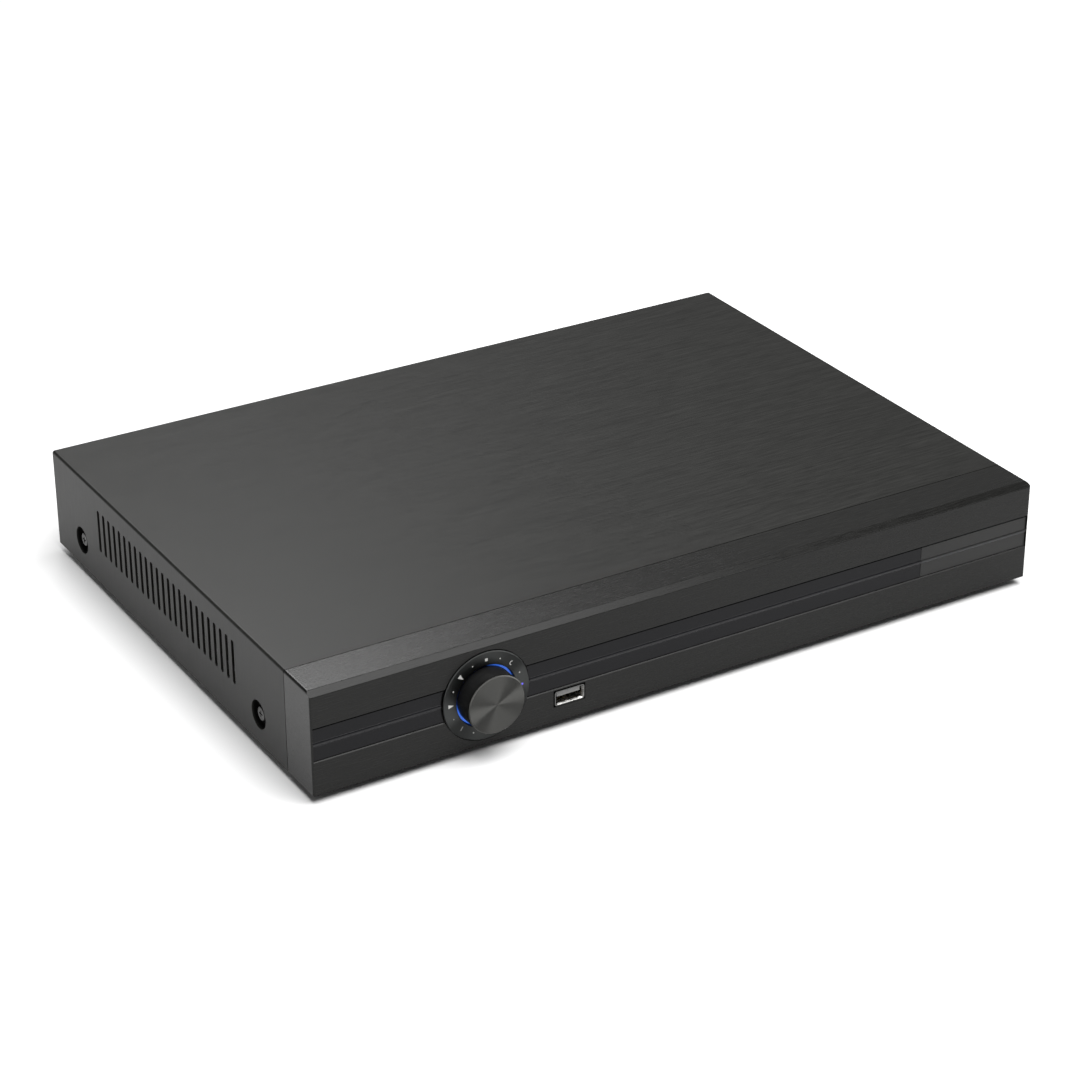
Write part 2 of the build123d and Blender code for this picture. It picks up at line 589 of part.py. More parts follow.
# ---- fasteners -----------------------------------------------------------------------------
def side_screws():
    screws = []
    for side in (-1, 1):
        for y, z in SIDE_SCREWS:
            floor = CASE_X - DIMPLE_DEPTH
            head = rod_x(y, z, SCREW_HEAD, sorted((side * floor, side * (floor + 0.85))))
            rim = head.edges().filter_by(GeomType.CIRCLE).group_by(Axis.X)[-1 if side > 0 else 0]
            head = fillet(rim, 0.35)
            shank = rod_x(y, z, SCREW_SHANK, sorted((side * (floor - 6), side * floor)))
            recess = sorted((side * (floor + 0.25), side * (floor + 1)))
            upright = block(recess, around(y, 0.32), around(z, 1.55))
            level = block(recess, around(y, 1.55), around(z, 0.32))
            screws.append(head + shank - upright - level)
    return group(screws)


def pan_screw_y(x, z, seat, out, length, head_radius=2.8):
    """A pan-head screw along Y: its head sits on seat and stands towards out."""
    head = rod_y(x, z, head_radius, sorted((seat, seat + out * 1.7)))
    rim = head.edges().filter_by(GeomType.CIRCLE).group_by(Axis.Y)[-1 if out > 0 else 0]
    head = fillet(rim, 0.7)
    shank = rod_y(x, z, 1.25, sorted((seat, seat - out * length)))
    return head + shank - cross_recess_y(x, z, seat + out * 1.8, -out * 1.0)


def lip_screws():
    return group([pan_screw_y(x, LIP_SCREW_Z, REAR_Y, 1, 6.0) for x in LIP_SCREWS_X])


def bezel_screws():
    seat = CHASSIS_FRONT_Y + SHEET
    return group([pan_screw_y(x, z, seat, 1, 6.0) for x, z in WALL_BOSSES])


def board_screws():
    """The screws of the front board, then those of the main board."""
    screws = [pan_screw_y(x, z, FRONT_BOARD_Y + BOARD, 1, 6.0) for x, z in BOSSES]
    for x, y in BOARD_POSTS:
        head = rod_z(x, y, 2.8, (MAIN_TOP, MAIN_TOP + 1.8))
        screws.append(head + rod_z(x, y, 1.25, (MAIN_TOP - 5, MAIN_TOP)))
    return group(screws)


def rubber_feet():
    feet = []
    for x, y in FEET:
        foot = Pos(x, y, FOOT_HEIGHT / 2) * Cone(FOOT_RADIUS - 0.8, FOOT_RADIUS, FOOT_HEIGHT)
        foot -= rod_z(x, y, 4.0, (-1, 2.2))
        foot -= rod_z(x, y, SCREW_HOLE, (0, FOOT_HEIGHT + 1))
        feet.append(foot)
    return group(feet)


def foot_screws():
    screws = []
    for x, y in FEET:
        head = rod_z(x, y, 3.2, (0.6, 2.2))
        shank = rod_z(x, y, SCREW_SHANK, (2.2, FLOOR_TOP + 2.0))
        recess = block(around(x, 1.5), around(y, 0.35), (0, 1.5))
        recess += block(around(x, 0.35), around(y, 1.5), (0, 1.5))
        nut = rod_z(x, y, 3.0, (FLOOR_TOP, FLOOR_TOP + 1.6))
        screws.append(head + shank + nut - recess)
    return group(screws)


def disk_screws():
    screws = []
    for x, y in DISK_HOLES:
        head = rod_z(x, y, 2.9, (BOTTOM_Z - 1.5, BOTTOM_Z))
        shank = rod_z(x, y, SCREW_SHANK, (BOTTOM_Z, DISK_Z + 3.0))
        recess = block(around(x, 1.5), around(y, 0.35), (BOTTOM_Z - 2, BOTTOM_Z - 0.7))
        recess += block(around(x, 0.35), around(y, 1.5), (BOTTOM_Z - 2, BOTTOM_Z - 0.7))
        screws.append(head + shank - recess)
    return group(screws)


def fan_screws():
    screws = []
    for side_x in (-1, 1):
        for side_z in (-1, 1):
            x = FAN_X + side_x * FAN_SCREW_PITCH / 2
            z = FAN_Z + side_z * FAN_SCREW_PITCH / 2
            screws.append(pan_screw_y(x, z, PANEL_Y, 1, 8.0, 2.6))
    return group(screws)


# ---- rear sockets --------------------------------------------------------------------------
def bnc_blocks():
    """One upright plastic block behind each pair of video sockets."""
    blocks = []
    for x in BNC_X:
        body = block(around(x, 7.2), (PANEL_INNER_Y - 24, PANEL_INNER_Y),
                     (MAIN_TOP, MAIN_TOP + 31))
        for z in BNC_Z:
            body -= rod_y(x, z, 4.9, (PANEL_INNER_Y - 4, PANEL_INNER_Y + 1))
        blocks.append(body)
    return group(blocks)


def bnc_barrels():
    barrels = []
    for x in BNC_X:
        for z in BNC_Z:
            barrel = rod_y(x, z, 4.8, (PANEL_INNER_Y - 4, SOCKET_TIP_Y))
            barrel += rod_y(x, z, 6.1, (PANEL_INNER_Y, PANEL_Y + 2.0))
            barrel -= rod_y(x, z, 4.1, (PANEL_INNER_Y - 2.5, SOCKET_TIP_Y + 1))
            lug_y = SOCKET_TIP_Y - 4.2
            barrel += rod_x(lug_y, z, 1.0, (x + 4.3, x + 5.9))
            barrel += rod_x(lug_y, z, 1.0, (x - 5.9, x - 4.3))
            barrels.append(barrel)
    return group(barrels)


def bnc_insulators():
    sleeves = []
    for x in BNC_X:
        for z in BNC_Z:
            sleeve = rod_y(x, z, 4.05, (PANEL_INNER_Y - 2.4, PANEL_Y + 1.6))
            sleeve += rod_y(x, z, 2.4, (PANEL_Y + 1.6, SOCKET_TIP_Y - 1.2))
            sleeves.append(sleeve - rod_y(x, z, 1.15, (PANEL_INNER_Y - 3, SOCKET_TIP_Y)))
    return group(sleeves)


def bnc_contacts():
    pins = []
    for x in BNC_X:
        for z in BNC_Z:
            pin = rod_y(x, z, 1.1, (PANEL_INNER_Y - 2.4, SOCKET_TIP_Y - 1.6))
            pins.append(pin - rod_y(x, z, 0.5, (SOCKET_TIP_Y - 8, SOCKET_TIP_Y)))
    return group(pins)


def audio_block():
    body = block(around(RCA_X, 5.6), (PANEL_INNER_Y - 15, PANEL_INNER_Y),
                 (MAIN_TOP, MAIN_TOP + 28))
    for z in RCA_Z:
        body += rod_y(RCA_X, z, 5.0, (PANEL_INNER_Y, PANEL_Y + 0.8))
        body += rod_y(RCA_X, z, 2.9, (PANEL_Y + 0.8, SOCKET_TIP_Y - 2.4))
        body -= rod_y(RCA_X, z, 1.7, (PANEL_INNER_Y - 8, SOCKET_TIP_Y))
    return group([body])


def audio_collars():
    collars = []
    for z in RCA_Z:
        collar = rod_y(RCA_X, z, 4.15, (PANEL_Y + 0.8, SOCKET_TIP_Y - 1.4))
        collars.append(collar - rod_y(RCA_X, z, 3.0, (PANEL_Y, SOCKET_TIP_Y)))
    return group(collars)


def vga_shell():
    plate = block(around(VGA_X, 15.4), (PANEL_INNER_Y - 1.0, PANEL_INNER_Y),
                  (VGA_Z - 6.2, VGA_Z + 6.2))
    shell = plate + d_outline(VGA_X, VGA_Z, 16.9, 8.3, (PANEL_INNER_Y, REAR_Y + 4.8))
    for side in (-1, 1):
        shell -= rod_y(VGA_X + side * VGA_SCREW_PITCH / 2, VGA_Z, 1.6,
                       (PANEL_INNER_Y - 2, PANEL_INNER_Y + 1))
    return shell - d_outline(VGA_X, VGA_Z, 15.9, 7.3, (PANEL_INNER_Y - 2, REAR_Y + 6))


def vga_insert():
    """The blue socket block, with its three rows of contact holes."""
    body = block(around(VGA_X, 15.2), (PANEL_INNER_Y - 12, PANEL_INNER_Y - 1.0),
                 (MAIN_TOP, VGA_Z + 6.0))
    body += d_outline(VGA_X, VGA_Z, 15.7, 7.1, (PANEL_INNER_Y - 1.0, REAR_Y + 4.4))
    for row, z in enumerate((VGA_Z + 2.0, VGA_Z, VGA_Z - 2.0)):
        for column in range(5):
            x = VGA_X + (column - 2) * 2.29 - (0.57 if row == 1 else -0.57)
            body -= rod_y(x, z, 0.5, (REAR_Y - 1.0, REAR_Y + 5))
    for side in (-1, 1):
        body -= rod_y(VGA_X + side * VGA_SCREW_PITCH / 2, VGA_Z, 1.7,
                      (PANEL_INNER_Y - 7, PANEL_INNER_Y))
    return group([body])


def hex_prism_y(x, z, across_flats, y):
    face = Plane.XZ.offset(-y[0]) * Pos(x, z) * RegularPolygon(across_flats / 2, 6, major_radius=False)
    return extrude(face, -(y[1] - y[0]))


def vga_jackscrews():
    screws = []
    for side in (-1, 1):
        x = VGA_X + side * VGA_SCREW_PITCH / 2
        head = hex_prism_y(x, VGA_Z, 5.0, (PANEL_Y, PANEL_Y + 5.0))
        head += rod_y(x, VGA_Z, 1.4, (PANEL_INNER_Y - 6.0, PANEL_Y))
        screws.append(head - rod_y(x, VGA_Z, 1.25, (PANEL_Y - 0.5, PANEL_Y + 6)))
    return group(screws)


def hdmi_shell():
    half = 7.4
    outline = Polyline((-half, 2.9), (half, 2.9), (half, -0.9), (half - 2.2, -2.9),
                       (-half + 2.2, -2.9), (-half, -0.9), close=True)
    face = make_face(outline)
    outer = extrude(Plane.XZ.offset(-(PANEL_INNER_Y - 11)) * Pos(HDMI_X, HDMI_Z) * face,
                    -(REAR_Y + 0.2 - PANEL_INNER_Y + 11))
    inner_face = offset(face, amount=-0.4)
    inner = extrude(Plane.XZ.offset(-(PANEL_INNER_Y - 10)) * Pos(HDMI_X, HDMI_Z) * inner_face, -30)
    return group([outer - inner])


def hdmi_tongue():
    return block(around(HDMI_X, 5.8), (PANEL_INNER_Y - 10, REAR_Y - 1.0),
                 (HDMI_Z - 0.1, HDMI_Z + 1.1))


def lan_jack():
    high = MAIN_TOP + LAN_SIZE[1]
    body = block(around(LAN_X, LAN_SIZE[0] / 2), (PANEL_INNER_Y - 21, REAR_Y + 0.3),
                 (MAIN_TOP, high))
    body -= block(around(LAN_X, 5.9), (REAR_Y - 12, REAR_Y + 1), (MAIN_TOP + 4.2, MAIN_TOP + 10.8))
    body -= block(around(LAN_X, 3.1), (REAR_Y - 12, REAR_Y + 1), (MAIN_TOP + 1.4, MAIN_TOP + 4.3))
    for side in (-1, 1):
        body -= block(around(LAN_X + side * 6.0, 1.2), (REAR_Y - 1.0, REAR_Y + 1),
                      (MAIN_TOP + 11.4, MAIN_TOP + 13.0))
    return group([body])


def lan_contacts():
    wires = []
    for index in range(8):
        x = LAN_X + (index - 3.5) * 1.02
        wires.append(block(around(x, 0.22), (REAR_Y - 9, REAR_Y - 3),
                           (MAIN_TOP + 9.9, MAIN_TOP + 10.4)))
    return group(wires)



def power_jack():
    body = block(around(POWER_X, POWER_SIZE[0] / 2), (PANEL_INNER_Y - 13, REAR_Y + 0.3),
                 (MAIN_TOP, MAIN_TOP + POWER_SIZE[1]))
    body -= rod_y(POWER_X, POWER_Z, 3.1, (REAR_Y - 9.5, REAR_Y + 1))
    return body


def power_pin():
    pin = rod_y(POWER_X, POWER_Z, 1.0, (REAR_Y - 9.5, REAR_Y - 0.6))
    tip = pin.edges().filter_by(GeomType.CIRCLE).group_by(Axis.Y)[-1]
    return fillet(tip, 0.5)


# ---- the main board and what is soldered to it ----------------------------------------------
def main_board():
    board = block(MAIN_X, MAIN_Y, (MAIN_Z, MAIN_TOP))
    for x, y in BOARD_POSTS:
        board -= rod_z(x, y, SCREW_HOLE, (MAIN_Z - 1, MAIN_TOP + 1))
    return board


PROCESSOR = (34.0, 66.0)
SINK_SIZE = 32.0


def processor():
    return block(around(PROCESSOR[0], 12), around(PROCESSOR[1], 12), (MAIN_TOP, MAIN_TOP + 2.0))


def heat_sink():
    base = MAIN_TOP + 2.0
    half = SINK_SIZE / 2
    sink = block(around(PROCESSOR[0], half), around(PROCESSOR[1], half), (base, base + 2.5))
    for index in range(9):
        x = PROCESSOR[0] - half + 0.6 + index * (SINK_SIZE - 1.2) / 8
        sink += block(around(x, 0.6), around(PROCESSOR[1], half), (base + 2.0, base + 12.0))
    return sink


def board_chips():
    """Memory, video decoder and network chips."""
    chips = []
    for x, y, long_x, long_y in ((2.0, 52.0, 9.0, 13.0), (2.0, 76.0, 9.0, 13.0),
                                 (62.0, 52.0, 9.0, 13.0), (62.0, 76.0, 9.0, 13.0),
                                 (-58.0, 70.0, 14.0, 14.0), (-92.0, 70.0, 14.0, 14.0),
                                 (84.0, 76.0, 9.0, 9.0), (-26.0, 64.0, 8.0, 8.0)):
        chips.append(block(around(x, long_x / 2), around(y, long_y / 2),
                           (MAIN_TOP, MAIN_TOP + 1.2)))
    return group(chips)


def capacitors():
    cans = []
    for x, y in ((98.0, 90.0), (98.0, 78.0), (98.0, 66.0), (88.0, 58.0), (-40.0, 90.0),
                 (-112.0, 82.0)):
        can = rod_z(x, y, 4.0, (MAIN_TOP, MAIN_TOP + 11.0))
        cans.append(fillet(can.edges().filter_by(GeomType.CIRCLE), 0.5))
    return group(cans)



CELL = (-96.0, 42.0)


def cell_holder():
    holder = rod_z(CELL[0], CELL[1], 11.6, (MAIN_TOP, MAIN_TOP + 4.6))
    holder -= rod_z(CELL[0], CELL[1], 10.1, (MAIN_TOP + 1.0, MAIN_TOP + 5))
    return holder - block(around(CELL[0], 5), (CELL[1] - 13, CELL[1] - 6), (MAIN_TOP + 1, MAIN_TOP + 6))


def coin_cell():
    cell = rod_z(CELL[0], CELL[1], 10.0, (MAIN_TOP + 1.0, MAIN_TOP + 4.2))
    return chamfer(cell.edges().filter_by(GeomType.CIRCLE), 0.4)



# ---- board sockets and the leads inside the case --------------------------------------------
DATA_SOCKET = (60.0, 33.0)
DISK_POWER_SOCKET = (82.0, 32.0)
FLAT_SOCKET = (CABLE_SLOT_X, 33.0)
FAN_SOCKET = (106.0, 44.0)
DISK_PLUG_X = DISK_X[1] + 1.0
DATA_PLUG_Y = DISK_Y[0] + 26.0
POWER_PLUG_Y = DISK_Y[0] + 52.0
PLUG_Z = DISK_Z + 5.0
LEAD_TOP = MAIN_TOP + 9.0


def board_sockets():
    """Pin headers: disk data, disk power, flat cable, fan, and the flat cable's front one."""
    pieces = [block(around(DATA_SOCKET[0], 8.0), around(DATA_SOCKET[1], 3.0),
                    (MAIN_TOP, MAIN_TOP + 6.0)),
              block(around(DISK_POWER_SOCKET[0], 5.5), around(DISK_POWER_SOCKET[1], 3.0),
                    (MAIN_TOP, MAIN_TOP + 6.0)),
              block(around(FLAT_SOCKET[0], 9.0), around(FLAT_SOCKET[1], 3.0),
                    (MAIN_TOP, MAIN_TOP + 5.0)),
              block(around(FAN_SOCKET[0], 3.2), around(FAN_SOCKET[1], 2.4),
                    (MAIN_TOP, MAIN_TOP + 5.0)),
              block(around(CABLE_SLOT_X, 9.0), (FRONT_BOARD_Y + BOARD, FRONT_BOARD_Y + BOARD + 5.0),
                    around(BOTTOM_Z + 27, 3.0))]
    return group(pieces)


def lead_plugs():
    """The plugs on the two disk leads and on the fan lead."""
    pieces = [block((DISK_PLUG_X, DISK_PLUG_X + 9.0), around(DATA_PLUG_Y, 7.0), around(PLUG_Z, 3.0)),
              block((DISK_PLUG_X, DISK_PLUG_X + 9.0), around(POWER_PLUG_Y, 11.0),
                    around(PLUG_Z, 3.0)),
              block(around(DATA_SOCKET[0], 7.0), around(DATA_SOCKET[1], 2.6),
                    (MAIN_TOP + 6.0, LEAD_TOP)),
              block(around(DISK_POWER_SOCKET[0], 5.0), around(DISK_POWER_SOCKET[1], 2.6),
                    (MAIN_TOP + 6.0, LEAD_TOP)),
              block(around(FAN_SOCKET[0], 2.9), around(FAN_SOCKET[1], 2.1),
                    (MAIN_TOP + 5.0, LEAD_TOP))]
    return group(pieces)


def lead(points, radii, radius):
    """A round lead: straight runs joined by tangent arcs."""
    path = FilletPolyline(*points, radius=radii)
    start = Plane(origin=path @ 0, z_dir=path % 0)
    return sweep(start * Circle(radius), path=path)


def disk_data_lead():
    start_x = DISK_PLUG_X + 9.0
    x, y = DATA_SOCKET
    points = ((start_x, DATA_PLUG_Y, PLUG_Z), (x, DATA_PLUG_Y, PLUG_Z),
              (x, y, LEAD_TOP + 22), (x, y, LEAD_TOP))
    return lead(points, [30.0, 12.0], 2.2)


def disk_power_lead():
    start_x = DISK_PLUG_X + 9.0
    x, y = DISK_POWER_SOCKET
    points = ((start_x, POWER_PLUG_Y, PLUG_Z), (x, POWER_PLUG_Y, PLUG_Z),
              (x, y, LEAD_TOP + 22), (x, y, LEAD_TOP))
    return lead(points, [26.0, 12.0], 1.8)


def fan_lead():
    x, y = FAN_SOCKET
    start_x = FAN_X + FAN_SIZE / 2 - 2.0
    points = ((start_x, FAN_FRONT_Y, FLOOR_TOP + 10), (start_x, y + 12, FLOOR_TOP + 10),
              (start_x - 16, y, LEAD_TOP + 10), (x, y, LEAD_TOP + 10), (x, y, LEAD_TOP))
    return lead(points, [14.0, 10.0, 6.0], 1.0)


def flat_cable():
    """The flat cable from the front board, over the chassis wall, down to the main board."""
    start = (FRONT_BOARD_Y + BOARD + 5.0, BOTTOM_Z + 27)
    end = (FLAT_SOCKET[1], MAIN_TOP + 5.0)
    route = FilletPolyline(start, (end[0] - 40, BOTTOM_Z + 27.5), (end[0], end[1] + 14), end,
                           radius=[30.0, 6.0])
    band = trace(route, line_width=0.9)
    face = Plane.YZ.offset(CABLE_SLOT_X - 7.5) * band
    return extrude(face, 15.0)


# ---- the disk drive ------------------------------------------------------------------------
def disk_spacers():
    rings = []
    for x, y in DISK_HOLES:
        rings.append(rod_z(x, y, 2.9, (FLOOR_TOP, DISK_Z)) - rod_z(x, y, 1.6, (FLOOR_TOP - 1, DISK_Z + 1)))
    return group(rings)


def disk_case():
    body = block(DISK_X, DISK_Y, (DISK_Z, DISK_Z + DISK[2] - 1.0))
    body = fillet(body.edges().filter_by(Axis.Z), 2.5)
    well = (DISK_Z + 8.4, DISK_Z + DISK[2])
    body -= rod_z(PLATTER_X, PLATTER_Y, PLATTER_RADIUS + 0.8, well)
    body -= block((PLATTER_X, DISK_X[1] - 5), (DISK_Y[0] + 6, DISK_Y[1] - 6), well)
    body += rod_z(PLATTER_X, PLATTER_Y, 4.0, (DISK_Z + 8.0, DISK_Z + 20.0))
    body += rod_z(*ARM_PIVOT, 3.0, (DISK_Z + 8.0, DISK_Z + 21.0))
    body -= block((DISK_X[0] + 24, DISK_X[1] - 2), (DISK_Y[0] + 12, DISK_Y[1] - 12),
                  (DISK_Z - 1, DISK_Z + 3.0))
    body -= block((DISK_X[1] - 6, DISK_X[1] + 1), (DATA_PLUG_Y - 9, POWER_PLUG_Y + 13),
                  (DISK_Z + 1.5, DISK_Z + 7.6))
    for x, y in DISK_HOLES:
        body -= rod_z(x, y, 1.6, (DISK_Z - 1, DISK_Z + 4.0))
    return body


def disk_lid():
    z = DISK_Z + DISK[2] - 1.0
    lid = block((DISK_X[0] + 0.6, DISK_X[1] - 0.6), (DISK_Y[0] + 0.6, DISK_Y[1] - 0.6), (z, z + 1.0))
    lid = fillet(lid.edges().filter_by(Axis.Z), 2.5)
    groove = rod_z(PLATTER_X, PLATTER_Y, PLATTER_RADIUS - 6, (z + 0.6, z + 2))
    groove -= rod_z(PLATTER_X, PLATTER_Y, PLATTER_RADIUS - 8, (z, z + 3))
    return lid - groove


def disk_board():
    return block((DISK_X[0] + 26, DISK_X[1] - 9), (DISK_Y[0] + 14, DISK_Y[1] - 14),
                 (DISK_Z + 1.0, DISK_Z + 2.4))


def disk_platters():
    """The hub, its bearing bore and the two platters."""
    stack = rod_z(PLATTER_X, PLATTER_Y, 14.0, (DISK_Z + 9.4, DISK_Z + 21.6))
    for z in PLATTER_Z:
        stack += rod_z(PLATTER_X, PLATTER_Y, PLATTER_RADIUS, around(z, PLATTER / 2))
    return stack - rod_z(PLATTER_X, PLATTER_Y, 4.0 + RUNNING_GAP, (DISK_Z + 8, DISK_Z + 20.3))


def head_arm():
    """The comb of three arms on its pivot sleeve, with the coil's tail behind it."""
    x, y = ARM_PIVOT
    comb = rod_z(x, y, 6.5, (DISK_Z + 9.4, DISK_Z + 21.4))
    middle = (PLATTER_Z[0] + PLATTER_Z[1]) / 2
    for z in (PLATTER_Z[0] - 2.0, middle, PLATTER_Z[1] + 2.0):
        outline = Polyline((2, -4.5), (ARM_REACH, -1.6), (ARM_REACH, 1.6), (2, 4.5), close=True)
        blade = extrude(make_face(outline), 0.5, both=True)
        comb += Pos(x, y, z) * Rot(0, 0, ARM_REST) * blade
    tail = block((-12, -4), (-5, 5), (middle - 1.2, middle + 1.2))
    comb += Pos(x, y, 0) * Rot(0, 0, ARM_REST) * tail
    return comb - rod_z(x, y, 3.0 + RUNNING_GAP, (DISK_Z + 8, DISK_Z + 21.2))


def disk_lid_screws():
    screws = []
    z = DISK_Z + DISK[2]
    for x in (DISK_X[0] + 6, DISK_X[0] + 95, DISK_X[1] - 6):
        for y in (DISK_Y[0] + 4.2, DISK_Y[1] - 4.2):
            screws.append(rod_z(x, y, 2.0, (z, z + 0.8)))
    return group(screws)


# ---- the fan -------------------------------------------------------------------------------
def fan_frame():
    half = FAN_SIZE / 2
    y = (FAN_FRONT_Y, PANEL_INNER_Y)
    frame = block(around(FAN_X, half), y, around(FAN_Z, half))
    frame = fillet(frame.edges().filter_by(Axis.Y), 3.0)
    frame -= rod_y(FAN_X, FAN_Z, FAN_BORE, (y[0] - 1, y[1] + 1))
    frame += rod_y(FAN_X, FAN_Z, 8.5, (y[1] - 1.6, y[1] - 0.2))
    for turn in range(4):
        spoke = block((7.5, FAN_BORE + 0.5), (y[1] - 1.6, y[1] - 0.2), (-1.1, 1.1))
        frame += Pos(FAN_X, 0, FAN_Z) * Rot(0, 20 + 90 * turn, 0) * spoke
    frame += rod_y(FAN_X, FAN_Z, 1.5, (y[0] + 2.0, y[1] - 1.0))
    for side_x in (-1, 1):
        for side_z in (-1, 1):
            x = FAN_X + side_x * FAN_SCREW_PITCH / 2
            z = FAN_Z + side_z * FAN_SCREW_PITCH / 2
            frame -= rod_y(x, z, 1.7, (y[0] - 1, y[1] + 1))
    return frame


def fan_rotor():
    """The hub cup with its swept blades, turning on the frame's pin."""
    front = FAN_FRONT_Y + 0.8
    back = PANEL_INNER_Y - 2.2
    hub = rod_y(0, 0, 8.0, (front, back))
    hub = fillet(hub.edges().filter_by(GeomType.CIRCLE).group_by(Axis.Y)[0], 0.8)
    reach = FAN_BORE - 0.8
    middle = (front + back) / 2
    for index in range(FAN_BLADES):
        blade = block((6.5, reach), (-0.5, 0.5), (-4.6, 4.6))
        blade = Rot(38, 0, 0) * blade
        hub += Rot(0, index * 360 / FAN_BLADES, 0) * (Pos(0, middle, 0) * blade)
    hub &= rod_y(0, 0, reach, (front, back))
    hub -= rod_y(0, 0, 1.5 + RUNNING_GAP, (FAN_FRONT_Y + 1.8, back + 1))
    return Pos(FAN_X, 0, FAN_Z) * hub


# ---- writing the pieces --------------------------------------------------------------------
PIECES = {
    "base_chassis": base_chassis(),
    "rear_panel": rear_panel(),
    "top_cover": top_cover(),
    "front_bezel": front_bezel(),
    "window_strip": window_strip(),
    "strip_end": strip_end(),
    "dial_ring": dial_ring(),
    "light_ring": light_ring(),
    "knob_core": knob_core(),
    "knob_cap": knob_cap(),
    "encoder_shaft": encoder_shaft(),
    "encoder_rotor": encoder_rotor(),
    "encoder_body": encoder_body(),
    "press_switch": press_switch(),
    "front_board": front_board(),
    "board_lamps": group([ring_leds(), status_leds()]),
    "ir_receiver": ir_receiver(),
    "usb_shells": group([usb_shell(*place) for place in USB_PLACES]),
    "usb_tongues": group([usb_tongue(*place) for place in USB_PLACES]),
    "usb_contacts": group([usb_contacts(*place) for place in USB_PLACES]),
    "bnc_blocks": bnc_blocks(),
    "bnc_barrels": bnc_barrels(),
    "bnc_insulators": bnc_insulators(),
    "bnc_contacts": bnc_contacts(),
    "audio_block": audio_block(),
    "audio_collars": audio_collars(),
    "vga_shell": vga_shell(),
    "vga_insert": vga_insert(),
    "vga_jackscrews": vga_jackscrews(),
    "hdmi_shell": hdmi_shell(),
    "hdmi_tongue": hdmi_tongue(),
    "lan_jack": lan_jack(),
    "lan_contacts": lan_contacts(),
    "power_jack": power_jack(),
    "power_pin": power_pin(),
    "main_board": main_board(),
    "processor": processor(),
    "heat_sink": heat_sink(),
    "board_chips": board_chips(),
    "capacitors": capacitors(),
    "coin_cell": coin_cell(),
    "cell_holder": cell_holder(),
    "board_sockets": board_sockets(),
    "flat_cable": flat_cable(),
    "disk_case": disk_case(),
    "disk_lid": disk_lid(),
    "disk_board": disk_board(),
    "disk_platters": disk_platters(),
    "head_arm": head_arm(),
    "disk_leads": group([disk_data_lead(), disk_power_lead()]),
    "lead_plugs": lead_plugs(),
    "fan_frame": fan_frame(),
    "fan_rotor": fan_rotor(),
    "fan_lead": fan_lead(),
    "side_screws": side_screws(),
    "rear_screws": group([lip_screws(), fan_screws()]),
    "under_screws": group([foot_screws(), disk_screws()]),
    "inner_screws": group([bezel_screws(), board_screws(), disk_lid_screws()]),
    "standoffs": group([standoffs(), disk_spacers()]),
    "rubber_feet": rubber_feet(),
}

os.makedirs("parts", exist_ok=True)
for name, piece in PIECES.items():
    piece.label = name
    export_step(piece, f"parts/{name}.step")
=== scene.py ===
import math

import bmesh
import bpy
import numpy as np
from mathutils import Euler, Matrix, Vector


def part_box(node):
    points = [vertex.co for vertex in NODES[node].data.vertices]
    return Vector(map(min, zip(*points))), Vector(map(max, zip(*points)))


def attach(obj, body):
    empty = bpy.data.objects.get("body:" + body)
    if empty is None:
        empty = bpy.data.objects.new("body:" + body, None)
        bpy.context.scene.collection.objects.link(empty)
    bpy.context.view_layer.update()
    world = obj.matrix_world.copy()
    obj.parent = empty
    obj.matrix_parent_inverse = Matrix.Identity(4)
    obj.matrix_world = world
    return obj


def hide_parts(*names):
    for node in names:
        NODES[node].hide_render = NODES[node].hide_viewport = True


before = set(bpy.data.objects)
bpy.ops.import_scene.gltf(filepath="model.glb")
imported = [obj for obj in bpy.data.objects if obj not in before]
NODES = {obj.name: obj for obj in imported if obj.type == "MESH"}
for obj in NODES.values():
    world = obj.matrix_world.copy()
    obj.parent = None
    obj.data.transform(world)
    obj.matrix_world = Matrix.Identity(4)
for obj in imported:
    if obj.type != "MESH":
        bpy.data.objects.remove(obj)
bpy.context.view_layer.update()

# ---- the studio ----------------------------------------------------------------------------
# A pale painted floor that runs out of sight, a large soft box overhead with smaller ones
# behind and at the front right, and a long lens looking down on the front left corner.


def plain_material(name, colour, roughness, metallic=0.0, specular=0.5):
    """A new node material; returns it with its node tree and its surface shader."""
    made = bpy.data.materials.new(name)
    made.use_nodes = True
    shader = made.node_tree.nodes["Principled BSDF"]
    shader.inputs["Base Color"].default_value = (*colour, 1.0)
    shader.inputs["Roughness"].default_value = roughness
    shader.inputs["Metallic"].default_value = metallic
    shader.inputs["Specular IOR Level"].default_value = specular
    return made, made.node_tree, shader


def add_node(tree, kind, wires=None, **settings):
    """A node of that kind; wires gives each input by name or number, as a value or a socket."""
    node = tree.nodes.new(kind)
    for key, value in settings.items():
        setattr(node, key, value)
    for key, value in (wires or {}).items():
        if isinstance(value, bpy.types.NodeSocket):
            tree.links.new(value, node.inputs[key])
        else:
            node.inputs[key].default_value = value
    return node


def stretched_noise(tree, stretch, detail=3.0, roughness=0.6):
    """Noise on Object coordinates, with its own number of cells per metre along X, Y and Z."""
    place = add_node(tree, "ShaderNodeTexCoord").outputs["Object"]
    grid = add_node(tree, "ShaderNodeMapping", {"Vector": place, "Scale": stretch})
    wires = {"Vector": grid.outputs["Vector"], "Scale": 1.0, "Detail": detail,
             "Roughness": roughness}
    return add_node(tree, "ShaderNodeTexNoise", wires).outputs["Fac"]


def ramp(tree, factor, low, high, low_value, high_value):
    """The factor's stretch from low to high, turned into low_value to high_value."""
    wires = {"Value": factor, "From Min": low, "From Max": high,
             "To Min": low_value, "To Max": high_value}
    return add_node(tree, "ShaderNodeMapRange", wires).outputs["Result"]


